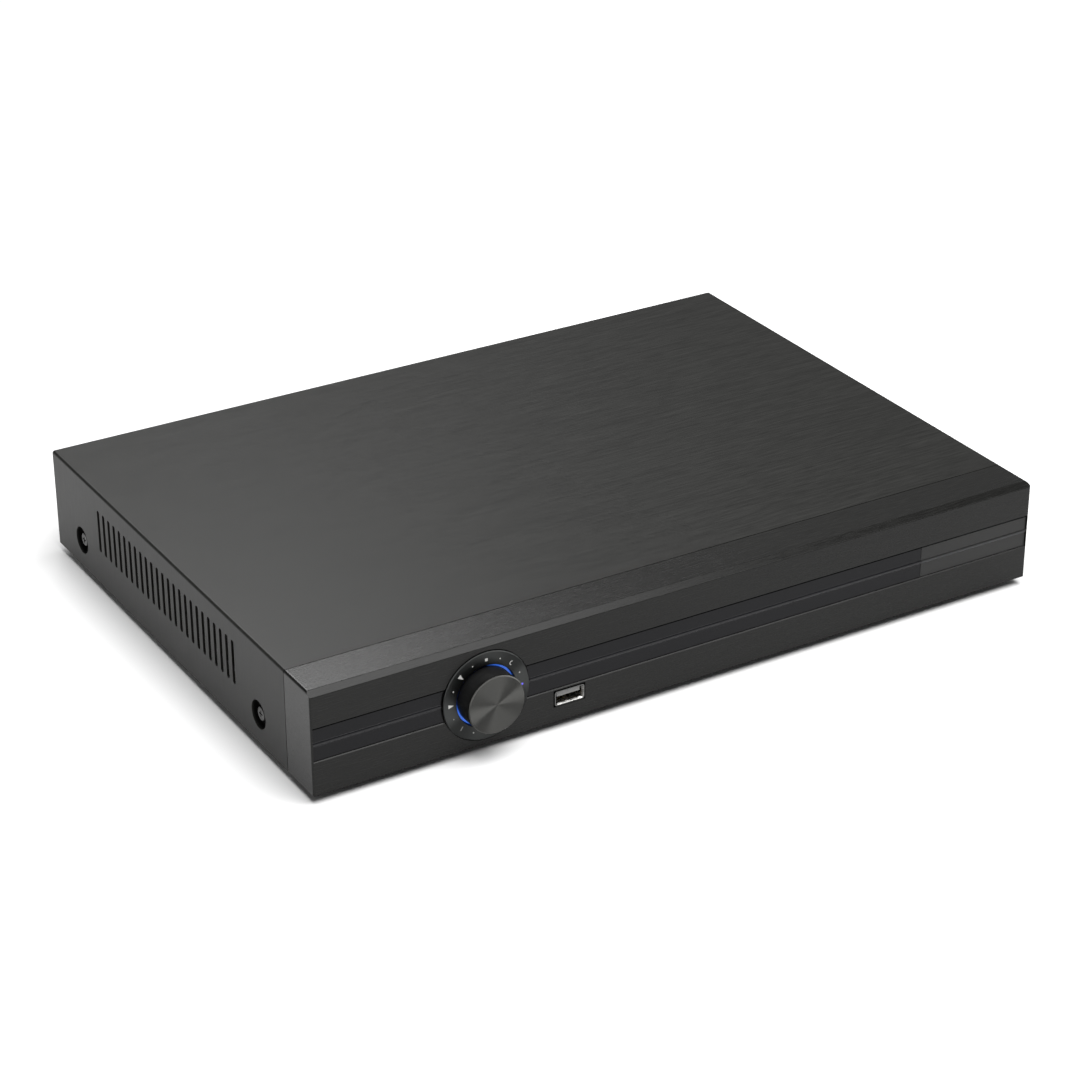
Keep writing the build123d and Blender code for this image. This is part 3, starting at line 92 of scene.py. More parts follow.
def blend_colours(tree, factor, first, second):
    """A colour between first and second; either may be a colour or a socket."""
    node = add_node(tree, "ShaderNodeMix", {"Factor": factor}, data_type="RGBA")
    for key, value in (("A_Color", first), ("B_Color", second)):
        target = [entry for entry in node.inputs if entry.identifier == key][0]
        if isinstance(value, bpy.types.NodeSocket):
            tree.links.new(value, target)
        else:
            target.default_value = (*value, 1.0)
    return [entry for entry in node.outputs if entry.type == "RGBA"][0]


def bump(tree, shader, height, strength, distance):
    wires = {"Height": height, "Strength": strength, "Distance": distance}
    node = add_node(tree, "ShaderNodeBump", wires)
    tree.links.new(node.outputs["Normal"], shader.inputs["Normal"])
    return node


FLOOR_HALF = 9.0
FLOOR_COLOUR = (0.86, 0.86, 0.86)


def floor_sheet():
    """A square grid; its height is zero everywhere, which is what the feet stand on."""
    side = np.linspace(-FLOOR_HALF, FLOOR_HALF, 3)
    x, y = np.meshgrid(side, side, indexing="ij")
    points = np.stack([x, y, np.zeros_like(x)], axis=-1).reshape(-1, 3)
    corner = np.array([[0, 3, 4, 1]]) + np.array([0, 1, 3, 4])[:, None]
    mesh = bpy.data.meshes.new("floor")
    mesh.from_pydata(points.tolist(), [], corner.tolist())
    sheet = bpy.data.objects.new("floor", mesh)
    bpy.context.scene.collection.objects.link(sheet)
    made, tree, shader = plain_material("floor_paint", FLOOR_COLOUR, 0.85, specular=0.2)
    cloud = stretched_noise(tree, (1.5, 1.5, 1.5), 2.0)
    tint = blend_colours(tree, cloud, (0.85, 0.85, 0.85), (0.87, 0.87, 0.87))
    tree.links.new(tint, shader.inputs["Base Color"])
    mesh.materials.append(made)


def soft_box(name, place, aim, size, power):
    """A rectangular lamp at place, turned to face aim; size is its width and height."""
    lamp = bpy.data.lights.new(name, "AREA")
    lamp.shape = "RECTANGLE"
    lamp.size, lamp.size_y = size
    lamp.energy = power
    holder = bpy.data.objects.new(name, lamp)
    holder.location = place
    look = Vector(aim) - Vector(place)
    holder.rotation_euler = look.to_track_quat("-Z", "Y").to_euler()
    bpy.context.scene.collection.objects.link(holder)


floor_sheet()
soft_box("overhead", (0.12, -0.75, 1.95), (0.12, -0.75, 0.0), (1.8, 2.3), 80.0)
soft_box("behind", (0.45, 2.00, 2.00), (0.0, 0.0, 0.0), (1.2, 0.9), 17.0)
soft_box("front_right", (1.25, -1.25, 1.80), (0.0, 0.0, 0.0), (0.7, 0.7), 9.0)

world = bpy.data.worlds.new("studio_air")
world.use_nodes = True
world.node_tree.nodes["Background"].inputs["Color"].default_value = (1.0, 1.0, 1.0, 1.0)
world.node_tree.nodes["Background"].inputs["Strength"].default_value = 0.16
bpy.context.scene.world = world
bpy.context.scene.view_settings.view_transform = "Standard"

CAMERA_PLACE = Vector((-0.6152, -1.0327, 0.6371))
CAMERA_AZIMUTH = math.radians(30.863)
CAMERA_ELEVATION = math.radians(27.414)
CAMERA_ROLL = math.radians(0.156)
lens = bpy.data.cameras.new("camera")
lens.lens = 100.1
lens.sensor_width = 36.0
lens.clip_end = 50.0
camera = bpy.data.objects.new("camera", lens)
aim = Euler((math.pi / 2 - CAMERA_ELEVATION, 0.0, -CAMERA_AZIMUTH)).to_matrix()
turn = aim @ Matrix.Rotation(-CAMERA_ROLL, 3, "Z")
camera.matrix_world = Matrix.Translation(CAMERA_PLACE) @ turn.to_4x4()
bpy.context.scene.collection.objects.link(camera)
bpy.context.scene.camera = camera

# ---- base chassis --------------------------------------------------------------------------
# The tray that everything is fixed to: one sheet of zinc-plated steel, folded up at the sides
# and the front. The plating shows soft spangles and the faint lines of the rolling mill.


def dress(made, *names):
    """Gives CAD nodes their finish."""
    for name in names:
        mesh = NODES[name].data
        mesh.materials.clear()
        mesh.materials.append(made)


def zinc_sheet():
    made, tree, shader = plain_material("zinc_sheet", (0.52, 0.53, 0.53), 0.4, metallic=1.0)
    place = add_node(tree, "ShaderNodeTexCoord").outputs["Object"]
    spangle = add_node(tree, "ShaderNodeTexVoronoi", {"Vector": place, "Scale": 160.0})
    grey = add_node(tree, "ShaderNodeRGBToBW", {"Color": spangle.outputs["Color"]}).outputs["Val"]
    tint = blend_colours(tree, ramp(tree, grey, 0.2, 0.8, 0.0, 1.0), (0.46, 0.47, 0.48),
                         (0.58, 0.59, 0.58))
    tree.links.new(tint, shader.inputs["Base Color"])
    rolled = stretched_noise(tree, (9.0, 900.0, 900.0))
    tree.links.new(ramp(tree, rolled, 0.3, 0.7, 0.32, 0.5), shader.inputs["Roughness"])
    bump(tree, shader, rolled, 0.08, 0.0002)
    return made


dress(zinc_sheet(), "base_chassis")

# ---- stand-offs, spacers and the screws inside ---------------------------------------------
# Turned steel posts pressed into the tray, the spacers below the disk drive, and the screws
# that hold the boards and the bezel. All are nickel plated, with fine turning marks.


def plated_steel():
    made, tree, shader = plain_material("plated_steel", (0.62, 0.61, 0.58), 0.28, metallic=1.0)
    smear = stretched_noise(tree, (500.0, 500.0, 1800.0))
    tree.links.new(ramp(tree, smear, 0.3, 0.7, 0.18, 0.42), shader.inputs["Roughness"])
    tint = blend_colours(tree, smear, (0.52, 0.51, 0.49), (0.7, 0.69, 0.66))
    tree.links.new(tint, shader.inputs["Base Color"])
    bump(tree, shader, smear, 0.1, 0.0001)
    return made


PLATED = plated_steel()
dress(PLATED, "standoffs", "inner_screws", "under_screws")

# ---- rear panel ----------------------------------------------------------------------------
# A punched steel plate behind the sockets, welded to the tray along its foot. It is powder
# coated black, which leaves a fine orange-peel texture.


def powder_coat():
    made, tree, shader = plain_material("powder_coat", (0.018, 0.018, 0.018), 0.5, specular=0.45)
    peel = stretched_noise(tree, (2600.0, 2600.0, 2600.0), 2.0)
    cloud = stretched_noise(tree, (35.0, 35.0, 35.0), 3.0)
    tint = blend_colours(tree, cloud, (0.014, 0.014, 0.014), (0.024, 0.024, 0.023))
    tree.links.new(tint, shader.inputs["Base Color"])
    tree.links.new(ramp(tree, cloud, 0.3, 0.7, 0.42, 0.58), shader.inputs["Roughness"])
    bump(tree, shader, peel, 0.35, 0.00015)
    return made


dress(powder_coat(), "rear_panel")

# ---- circuit boards ------------------------------------------------------------------------
# Glass-fibre boards with a green solder mask. The copper tracks show through it as lighter
# lines that change direction from patch to patch, with small tinned dots between them.

MASK_GREEN = (0.012, 0.105, 0.038)
TRACK_GREEN = (0.03, 0.2, 0.075)
TINNED_DOT = (0.6, 0.6, 0.52)
TRACK_WAVE = 5200.0


def board_mask(name, across):
    """across names the two axes of the board's plane, as numbers of the XYZ outputs."""
    made, tree, shader = plain_material(name, MASK_GREEN, 0.3)
    place = add_node(tree, "ShaderNodeTexCoord").outputs["Object"]
    parts = add_node(tree, "ShaderNodeSeparateXYZ", {"Vector": place}).outputs
    patches = add_node(tree, "ShaderNodeTexVoronoi", {"Vector": place, "Scale": 55.0},
                       distance="CHEBYCHEV")
    choice = add_node(tree, "ShaderNodeRGBToBW", {"Color": patches.outputs["Color"]})
    turned = ramp(tree, choice.outputs["Val"], 0.49, 0.51, 0.0, 1.0)
    stripes = []
    for axis in across:
        wave = add_node(tree, "ShaderNodeMath", {0: parts[axis], 1: TRACK_WAVE}, operation="MULTIPLY")
        swing = add_node(tree, "ShaderNodeMath", {0: wave.outputs[0]}, operation="SINE")
        stripes.append(ramp(tree, swing.outputs[0], 0.1, 0.5, 0.0, 1.0))
    picked = add_node(tree, "ShaderNodeMix", {"Factor": turned, "A": stripes[0], "B": stripes[1]})
    spread = stretched_noise(tree, (90.0, 90.0, 90.0), 1.0)
    shown = add_node(tree, "ShaderNodeMath", {0: picked.outputs["Result"],
                     1: ramp(tree, spread, 0.45, 0.5, 0.0, 1.0)}, operation="MULTIPLY")
    tracks = blend_colours(tree, shown.outputs[0], MASK_GREEN, TRACK_GREEN)
    dots = add_node(tree, "ShaderNodeTexVoronoi", {"Vector": place, "Scale": 420.0})
    tinned = ramp(tree, dots.outputs["Distance"], 0.16, 0.2, 1.0, 0.0)
    colour = blend_colours(tree, tinned, tracks, TINNED_DOT)
    tree.links.new(colour, shader.inputs["Base Color"])
    bump(tree, shader, shown.outputs[0], 0.2, 0.00005)
    return made


dress(board_mask("board_mask_level", (0, 1)), "main_board", "disk_board")
dress(board_mask("board_mask_upright", (0, 2)), "front_board")

# ---- chips, heat sink, capacitors, coin cell ------------------------------------------------
# Black epoxy packages with a finely blasted face, an extruded aluminium heat sink over the
# processor, aluminium cans in dark sleeves, and a steel coin cell in its black holder.


def epoxy_package():
    made, tree, shader = plain_material("epoxy_package", (0.028, 0.028, 0.03), 0.6)
    grain = stretched_noise(tree, (1500.0, 1500.0, 1500.0), 2.0)
    tint = blend_colours(tree, grain, (0.022, 0.022, 0.024), (0.036, 0.036, 0.038))
    tree.links.new(tint, shader.inputs["Base Color"])
    bump(tree, shader, grain, 0.2, 0.0001)
    return made


def extruded_aluminium():
    made, tree, shader = plain_material("extruded_aluminium", (0.7, 0.71, 0.72), 0.35, 1.0)
    drawn = stretched_noise(tree, (2200.0, 20.0, 2200.0))
    tree.links.new(ramp(tree, drawn, 0.3, 0.7, 0.24, 0.46), shader.inputs["Roughness"])
    tint = blend_colours(tree, drawn, (0.62, 0.63, 0.64), (0.76, 0.77, 0.78))
    tree.links.new(tint, shader.inputs["Base Color"])
    bump(tree, shader, drawn, 0.12, 0.0001)
    return made


def capacitor_sleeve():
    """A dark sleeve up to the bare crimped end of the can."""
    made, tree, shader = plain_material("capacitor_sleeve", (0.02, 0.03, 0.06), 0.35)
    place = add_node(tree, "ShaderNodeTexCoord").outputs["Object"]
    height = add_node(tree, "ShaderNodeSeparateXYZ", {"Vector": place}).outputs["Z"]
    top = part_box("capacitors")[1].z
    bare = ramp(tree, height, top - 0.0007, top - 0.0005, 0.0, 1.0)
    smear = stretched_noise(tree, (300.0, 300.0, 300.0))
    sleeve = blend_colours(tree, smear, (0.014, 0.022, 0.05), (0.024, 0.034, 0.07))
    tree.links.new(blend_colours(tree, bare, sleeve, (0.7, 0.7, 0.7)), shader.inputs["Base Color"])
    tree.links.new(bare, shader.inputs["Metallic"])
    return made


def moulded_black(name="moulded_black", grain_size=1100.0):
    """Black plastic from a lightly etched mould."""
    made, tree, shader = plain_material(name, (0.018, 0.018, 0.019), 0.48)
    grain = stretched_noise(tree, (grain_size, grain_size, grain_size), 3.0)
    cloud = stretched_noise(tree, (60.0, 60.0, 60.0), 2.0)
    tint = blend_colours(tree, cloud, (0.014, 0.014, 0.015), (0.025, 0.025, 0.026))
    tree.links.new(tint, shader.inputs["Base Color"])
    tree.links.new(ramp(tree, grain, 0.3, 0.7, 0.4, 0.58), shader.inputs["Roughness"])
    bump(tree, shader, grain, 0.25, 0.0001)
    return made


EPOXY = epoxy_package()
ALUMINIUM = extruded_aluminium()
MOULDED = moulded_black()
dress(EPOXY, "processor", "board_chips")
dress(ALUMINIUM, "heat_sink")
dress(capacitor_sleeve(), "capacitors")
dress(PLATED, "coin_cell")
dress(MOULDED, "cell_holder")

# ---- pin headers and plugs -----------------------------------------------------------------
# Natural nylon headers on the boards, and the black plugs of the leads that go into them.


def natural_nylon():
    made, tree, shader = plain_material("natural_nylon", (0.78, 0.76, 0.7), 0.45)
    cloud = stretched_noise(tree, (220.0, 220.0, 220.0))
    tint = blend_colours(tree, cloud, (0.7, 0.68, 0.61), (0.84, 0.83, 0.78))
    tree.links.new(tint, shader.inputs["Base Color"])
    bump(tree, shader, cloud, 0.12, 0.0001)
    return made


NYLON = natural_nylon()
dress(NYLON, "board_sockets")
dress(MOULDED, "lead_plugs")

# ---- disk drive ----------------------------------------------------------------------------
# A sealed drive on four spacers: a blasted aluminium casting, a pressed lid, the drive's own
# board below, two polished platters on their hub, and the milled arm that carries the heads.


def cast_aluminium():
    made, tree, shader = plain_material("cast_aluminium", (0.46, 0.47, 0.48), 0.5, metallic=1.0)
    grit = stretched_noise(tree, (900.0, 900.0, 900.0), 3.0)
    cloud = stretched_noise(tree, (28.0, 28.0, 28.0), 3.0)
    tint = blend_colours(tree, cloud, (0.4, 0.41, 0.42), (0.53, 0.54, 0.55))
    tree.links.new(tint, shader.inputs["Base Color"])
    tree.links.new(ramp(tree, cloud, 0.3, 0.7, 0.42, 0.6), shader.inputs["Roughness"])
    bump(tree, shader, grit, 0.3, 0.00015)
    return made


def polished_disc():
    made, tree, shader = plain_material("polished_disc", (0.8, 0.8, 0.82), 0.05, metallic=1.0)
    haze = stretched_noise(tree, (60.0, 60.0, 60.0))
    tree.links.new(ramp(tree, haze, 0.3, 0.7, 0.03, 0.09), shader.inputs["Roughness"])
    tint = blend_colours(tree, haze, (0.76, 0.76, 0.79), (0.84, 0.84, 0.85))
    tree.links.new(tint, shader.inputs["Base Color"])
    return made


dress(cast_aluminium(), "disk_case")
dress(ALUMINIUM, "disk_lid", "head_arm")
dress(polished_disc(), "disk_platters")

# ---- leads ---------------------------------------------------------------------------------
# The disk's data and power leads and the fan's lead in soft sheaths, and the flat cable of
# parallel conductors between the two boards.


def lead_sheath():
    made, tree, shader = plain_material("lead_sheath", (0.3, 0.02, 0.015), 0.42)
    cloud = stretched_noise(tree, (160.0, 160.0, 160.0))
    tint = blend_colours(tree, cloud, (0.24, 0.016, 0.012), (0.36, 0.028, 0.02))
    tree.links.new(tint, shader.inputs["Base Color"])
    bump(tree, shader, cloud, 0.1, 0.0001)
    return made


CONDUCTOR_PITCH = 0.00125


def ribbed_cable():
    """Grey sheath with a rounded rib over each conductor."""
    made, tree, shader = plain_material("ribbed_cable", (0.42, 0.42, 0.41), 0.5)
    place = add_node(tree, "ShaderNodeTexCoord").outputs["Object"]
    along = add_node(tree, "ShaderNodeSeparateXYZ", {"Vector": place}).outputs["X"]
    wave = add_node(tree, "ShaderNodeMath", {0: along, 1: 2 * math.pi / CONDUCTOR_PITCH},
                    operation="MULTIPLY")
    rib = add_node(tree, "ShaderNodeMath", {0: wave.outputs[0]}, operation="SINE").outputs[0]
    tint = blend_colours(tree, ramp(tree, rib, -1.0, 0.2, 0.0, 1.0), (0.25, 0.25, 0.24),
                         (0.47, 0.47, 0.46))
    tree.links.new(tint, shader.inputs["Base Color"])
    bump(tree, shader, rib, 0.4, 0.0003)
    return made


dress(lead_sheath(), "disk_leads", "fan_lead")
dress(ribbed_cable(), "flat_cable")

# ---- fan -----------------------------------------------------------------------------------
# A 40 mm fan screwed to the inside of the rear panel: a square frame with four spokes and a
# hub cup with seven swept blades, both moulded in glass-filled black plastic.

FAN_PLASTIC = moulded_black("fan_plastic", 700.0)
dress(FAN_PLASTIC, "fan_frame", "fan_rotor")

# ---- rear sockets --------------------------------------------------------------------------
# Plated shells and collars around plastic inserts, soldered to the main board and reaching
# out through the rear panel. The plate is bright, with fine swirls and a little haze.


def bright_nickel():
    made, tree, shader = plain_material("bright_nickel", (0.72, 0.71, 0.68), 0.16, metallic=1.0)
    haze = stretched_noise(tree, (240.0, 240.0, 240.0), 4.0)
    tree.links.new(ramp(tree, haze, 0.3, 0.7, 0.09, 0.26), shader.inputs["Roughness"])
    tint = blend_colours(tree, haze, (0.66, 0.65, 0.62), (0.78, 0.77, 0.75))
    tree.links.new(tint, shader.inputs["Base Color"])
    bump(tree, shader, haze, 0.04, 0.0001)
    return made


def nickel_painted_sheen():
    """Nickel with a painted sheen on faces that look up or towards -X, and painted dull shade on
    the others. That is a chosen look, set by the direction of the face; the plating itself is even."""
    made, tree, shader = plain_material("nickel_painted_sheen", (0.7, 0.69, 0.67), 0.2, metallic=1.0)
    facing = add_node(tree, "ShaderNodeNewGeometry").outputs["Normal"]
    upwards = add_node(tree, "ShaderNodeSeparateXYZ", {"Vector": facing}).outputs["Z"]
    sideways = add_node(tree, "ShaderNodeSeparateXYZ", {"Vector": facing}).outputs["X"]
    below = ramp(tree, upwards, 0.15, 0.5, 0.0, 1.0)
    ends = ramp(tree, sideways, -0.5, -0.2, 1.0, 0.0)
    painted_sheen_mask = add_node(tree, "ShaderNodeMath", {0: below, 1: ends}, operation="MAXIMUM").outputs[0]
    haze = stretched_noise(tree, (500.0, 500.0, 500.0), 3.0)
    bright = blend_colours(tree, haze, (0.62, 0.61, 0.59), (0.78, 0.77, 0.75))
    # painted sheen and painted shade: bright nickel where the face looks up or towards -X, near black
    # elsewhere
    tree.links.new(blend_colours(tree, painted_sheen_mask, (0.11, 0.11, 0.108), bright),
                   shader.inputs["Base Color"])
    tree.links.new(ramp(tree, haze, 0.3, 0.7, 0.14, 0.3), shader.inputs["Roughness"])
    return made


def gold_flash():
    made, tree, shader = plain_material("gold_flash", (0.83, 0.6, 0.25), 0.22, metallic=1.0)
    haze = stretched_noise(tree, (700.0, 700.0, 700.0))
    tree.links.new(ramp(tree, haze, 0.3, 0.7, 0.14, 0.32), shader.inputs["Roughness"])
    tint = blend_colours(tree, haze, (0.76, 0.54, 0.2), (0.88, 0.66, 0.3))
    tree.links.new(tint, shader.inputs["Base Color"])
    return made


def moulded_colour(name, dark, light):
    """Plastic in one colour with the slight mottling of its pigment."""
    made, tree, shader = plain_material(name, dark, 0.42)
    cloud = stretched_noise(tree, (350.0, 350.0, 350.0))
    tree.links.new(blend_colours(tree, cloud, dark, light), shader.inputs["Base Color"])
    tree.links.new(ramp(tree, cloud, 0.3, 0.7, 0.36, 0.5), shader.inputs["Roughness"])
    bump(tree, shader, cloud, 0.08, 0.0001)
    return made


NICKEL = bright_nickel()
GOLD = gold_flash()
dress(NICKEL, "bnc_barrels", "audio_collars", "vga_shell", "vga_jackscrews", "hdmi_shell",
      "lan_jack", "power_pin")
dress(nickel_painted_sheen(), "usb_shells")
dress(GOLD, "bnc_contacts", "lan_contacts", "usb_contacts")
dress(NYLON, "bnc_insulators")
dress(MOULDED, "bnc_blocks", "hdmi_tongue", "power_jack")
dress(moulded_colour("audio_red", (0.3, 0.012, 0.012), (0.38, 0.02, 0.018)), "audio_block")
dress(moulded_colour("socket_blue", (0.015, 0.05, 0.27), (0.025, 0.075, 0.35)), "vga_insert")
dress(moulded_colour("tongue_grey", (0.16, 0.16, 0.155), (0.22, 0.22, 0.215)), "usb_tongues")

# The network socket's two lamps are small clear lenses set in its face, one green, one amber.
# Each is a shallow pillow: flat sides, and a face that rises as the cosine across both ways.

LAN_LAMP_SIZE = (0.0023, 0.0014)
LAN_LAMP_RISE = 0.0003
LAN_LAMP_DEPTH = 0.0006
LAN_LAMP_ASIDE = 0.0060
LAN_LAMP_BELOW_TOP = 0.0014
LAN_LAMP_SUNK = 0.0002


def pillow(name, centre, size, depth, rise, steps=8):
    """A grid over the face, y = face + rise*cos(u)*cos(v), closed by a flat back at depth."""
    u, v = np.meshgrid(np.linspace(-1, 1, steps), np.linspace(-1, 1, steps), indexing="ij")
    swell = rise * np.cos(u * math.pi / 2) * np.cos(v * math.pi / 2)
    flat = np.stack([centre[0] + u * size[0] / 2, np.full_like(u, centre[1]),
                     centre[2] + v * size[1] / 2], axis=-1)
    face = flat + np.stack([0 * u, swell, 0 * u], axis=-1)
    back = flat - np.array([0.0, depth, 0.0])
    points = np.concatenate([face.reshape(-1, 3), back.reshape(-1, 3)])
    index = np.arange(steps * steps).reshape(steps, steps)
    a, b = index[:-1, :-1].ravel(), index[1:, :-1].ravel()
    c, d = index[1:, 1:].ravel(), index[:-1, 1:].ravel()
    front = np.stack([a, d, c, b], axis=1)
    rear = np.stack([a, b, c, d], axis=1) + steps * steps
    rim = np.concatenate([index[0], index[1:, -1], index[-1, -2::-1], index[-2:0:-1, 0]])
    after = np.roll(rim, -1)
    wall = np.stack([rim, rim + steps * steps, after + steps * steps, after], axis=1)
    mesh = bpy.data.meshes.new(name)
    mesh.from_pydata(points.tolist(), [], np.concatenate([front, rear, wall]).tolist())
    return mesh


def place_piece(mesh, name, body, made, sharp=35.0):
    """Puts a finished mesh into the scene, smooth except at its sharp edges, on its body."""
    mesh.materials.append(made)
    mesh.polygons.foreach_set("use_smooth", np.ones(len(mesh.polygons), dtype=bool))
    mesh.set_sharp_from_angle(angle=math.radians(sharp))
    mesh.update()
    piece = bpy.data.objects.new(name, mesh)
    bpy.context.scene.collection.objects.link(piece)
    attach(piece, body)
    return piece


def lamp_lens(name, colour, glow):
    made, tree, shader = plain_material(name, colour, 0.15)
    cloud = stretched_noise(tree, (900.0, 900.0, 900.0))
    tint = blend_colours(tree, cloud, tuple(0.85 * part for part in colour), colour)
    tree.links.new(tint, shader.inputs["Base Color"])
    shader.inputs["Emission Color"].default_value = (*colour, 1.0)
    shader.inputs["Emission Strength"].default_value = glow
    return made


low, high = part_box("lan_jack")
for side, tone in ((-1, (0.05, 0.35, 0.08)), (1, (0.55, 0.3, 0.03))):
    tag = "left" if side < 0 else "right"
    at = ((low.x + high.x) / 2 + side * LAN_LAMP_ASIDE, high.y - LAN_LAMP_SUNK,
          high.z - LAN_LAMP_BELOW_TOP)
    lens_mesh = pillow(f"network_lamp_{tag}", at, LAN_LAMP_SIZE, LAN_LAMP_DEPTH, LAN_LAMP_RISE)
    place_piece(lens_mesh, f"network_lamp_{tag}", "root", lamp_lens(f"lens_{tag}", tone, 0.0))

# ---- front board parts ---------------------------------------------------------------------
# The encoder with its plated can, nylon rotor and steel shaft, the snap dome under the shaft,
# the clear lamps of the light ring and the strip, and the dark infrared receiver.

dress(PLATED, "encoder_body", "encoder_shaft", "press_switch")
dress(NYLON, "encoder_rotor")
dress(MOULDED, "ir_receiver")
dress(moulded_colour("clear_resin", (0.62, 0.66, 0.7), (0.72, 0.76, 0.8)), "board_lamps")

# ---- front bezel ---------------------------------------------------------------------------
# A plastic moulding that wraps over the top and the sides, covered with a black hairline film
# whose lines run from left to right. It is shown glossier on the flat of the top. The moulding
# is clipped over the tray and screwed from behind.


def hairline(name, dark, light, coarse, fine, roughness):
    """Two layers of short thin scratches; coarse and fine are cells per metre along X, Y, Z."""
    made, tree, shader = plain_material(name, dark, roughness)
    wide = stretched_noise(tree, coarse, 2.0, 0.5)
    thin = stretched_noise(tree, fine, 2.0, 0.7)
    mixed = add_node(tree, "ShaderNodeMath", {0: ramp(tree, wide, 0.3, 0.7, 0.0, 0.3),
                     1: ramp(tree, thin, 0.3, 0.7, 0.0, 0.7)}, operation="ADD").outputs[0]
    tree.links.new(blend_colours(tree, mixed, dark, light), shader.inputs["Base Color"])
    rough = ramp(tree, mixed, 0.1, 0.9, roughness - 0.05, roughness + 0.05)
    tree.links.new(rough, shader.inputs["Roughness"])
    bump(tree, shader, thin, 0.22, 0.00004)
    return made, tree, shader


def glossier_on_top(tree, shader, sides, top):
    """Sets the shine by which way a face looks, from sides for the upright ones to top for the
    level ones. That is a chosen look; the finish itself is even."""
    facing = add_node(tree, "ShaderNodeNewGeometry").outputs["Normal"]
    upwards = add_node(tree, "ShaderNodeSeparateXYZ", {"Vector": facing}).outputs["Z"]
    shine = ramp(tree, upwards, 0.94, 0.99, sides, top)
    tree.links.new(shine, shader.inputs["Specular IOR Level"])
    return shine


film_made, film_tree, film_shader = hairline(
    "bezel_film", (0.0055, 0.0055, 0.0051), (0.0095, 0.0095, 0.0088),
    (60.0, 1500.0, 1500.0), (140.0, 2600.0, 2600.0), 0.25)
glossier_on_top(film_tree, film_shader, 0.18, 0.75)
dress(film_made, "front_bezel")

# ---- inlaid strip --------------------------------------------------------------------------
# A smoked, gloss moulded strip with a low crest along its middle, where a painted highlight
# makes it paler than its flats. It is glued into the groove of the bezel; its right-hand end
# is less glossy.


# The colour of the painted highlight along the strip's crest.
CREST_HIGHLIGHT_TINT = (0.022, 0.022, 0.0235)


def smoked_gloss(name, colour, roughness, specular):
    made, tree, shader = plain_material(name, colour, roughness, specular=specular)
    cloud = stretched_noise(tree, (14.0, 90.0, 90.0), 2.0)
    lighter = tuple(1.25 * part for part in colour)
    body = blend_colours(tree, cloud, colour, lighter)
    low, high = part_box("window_strip")
    place = add_node(tree, "ShaderNodeTexCoord").outputs["Object"]
    height = add_node(tree, "ShaderNodeSeparateXYZ", {"Vector": place}).outputs["Z"]
    above = add_node(tree, "ShaderNodeMath", {0: height, 1: (low.z + high.z) / 2},
                     operation="SUBTRACT").outputs[0]
    away = add_node(tree, "ShaderNodeMath", {0: above}, operation="ABSOLUTE").outputs[0]
    # painted highlight: a paler colour along the middle of the strip, over its crest
    crest_highlight = ramp(tree, away, 0.0004, 0.001, 1.0, 0.0)
    tree.links.new(blend_colours(tree, crest_highlight, body, CREST_HIGHLIGHT_TINT), shader.inputs["Base Color"])
    tree.links.new(ramp(tree, cloud, 0.3, 0.7, roughness - 0.04, roughness + 0.05),
                   shader.inputs["Roughness"])
    ripple = stretched_noise(tree, (60.0, 60.0, 60.0), 1.0)
    bump(tree, shader, ripple, 0.03, 0.0004)
    return made


dress(smoked_gloss("smoked_strip", (0.004, 0.004, 0.005), 0.24, 0.15), "window_strip")
dress(smoked_gloss("satin_strip_end", (0.01, 0.01, 0.0095), 0.34, 0.26), "strip_end")

# ---- jog dial plate ------------------------------------------------------------------------
# A flat ring turned from aluminium and anodised black, sunk in a round seat of the bezel. The
# turning marks run round it, so light gathers in fans from the centre outwards.

SEGMENTS = 192
dial_low, dial_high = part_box("dial_ring")
DIAL = Vector(((dial_low.x + dial_high.x) / 2, 0.0, (dial_low.z + dial_high.z) / 2))
DIAL_FACE = dial_low.y
DIAL_RADIUS = (dial_high.x - dial_low.x) / 2
DIAL_BORE = 0.0139
TURNING_MARKS = 9000.0


def lathe(name, profile, closed, segments=SEGMENTS):
    """Each profile point (radius, y) turned about the dial's axis: x = r*cos(t), z = r*sin(t)."""
    radius, along = np.array(profile).T
    turn = np.linspace(0, 2 * math.pi, segments, endpoint=False)
    x = DIAL.x + radius[None, :] * np.cos(turn)[:, None]
    z = DIAL.z + radius[None, :] * np.sin(turn)[:, None]
    y = np.broadcast_to(along, x.shape)
    points = np.stack([x, y, z], axis=-1).reshape(-1, 3)
    count = len(radius)
    index = np.arange(segments * count).reshape(segments, count)
    ahead = np.roll(index, -1, axis=0)
    last = count if closed else count - 1
    a = index[:, :last]
    b = np.roll(index, -1, axis=1)[:, :last]
    c = np.roll(ahead, -1, axis=1)[:, :last]
    d = ahead[:, :last]
    quads = np.stack([a, d, c, b], axis=-1).reshape(-1, 4)
    mesh = bpy.data.meshes.new(name)
    mesh.from_pydata(points.tolist(), [], quads.tolist())
    if not closed:
        close_poles(mesh)
    return mesh


def close_poles(mesh):
    """Welds the points that lie together on the axis, and drops the faces that vanish."""
    work = bmesh.new()
    work.from_mesh(mesh)
    bmesh.ops.remove_doubles(work, verts=work.verts, dist=1e-7)
    bmesh.ops.recalc_face_normals(work, faces=work.faces)
    work.to_mesh(mesh)
    work.free()


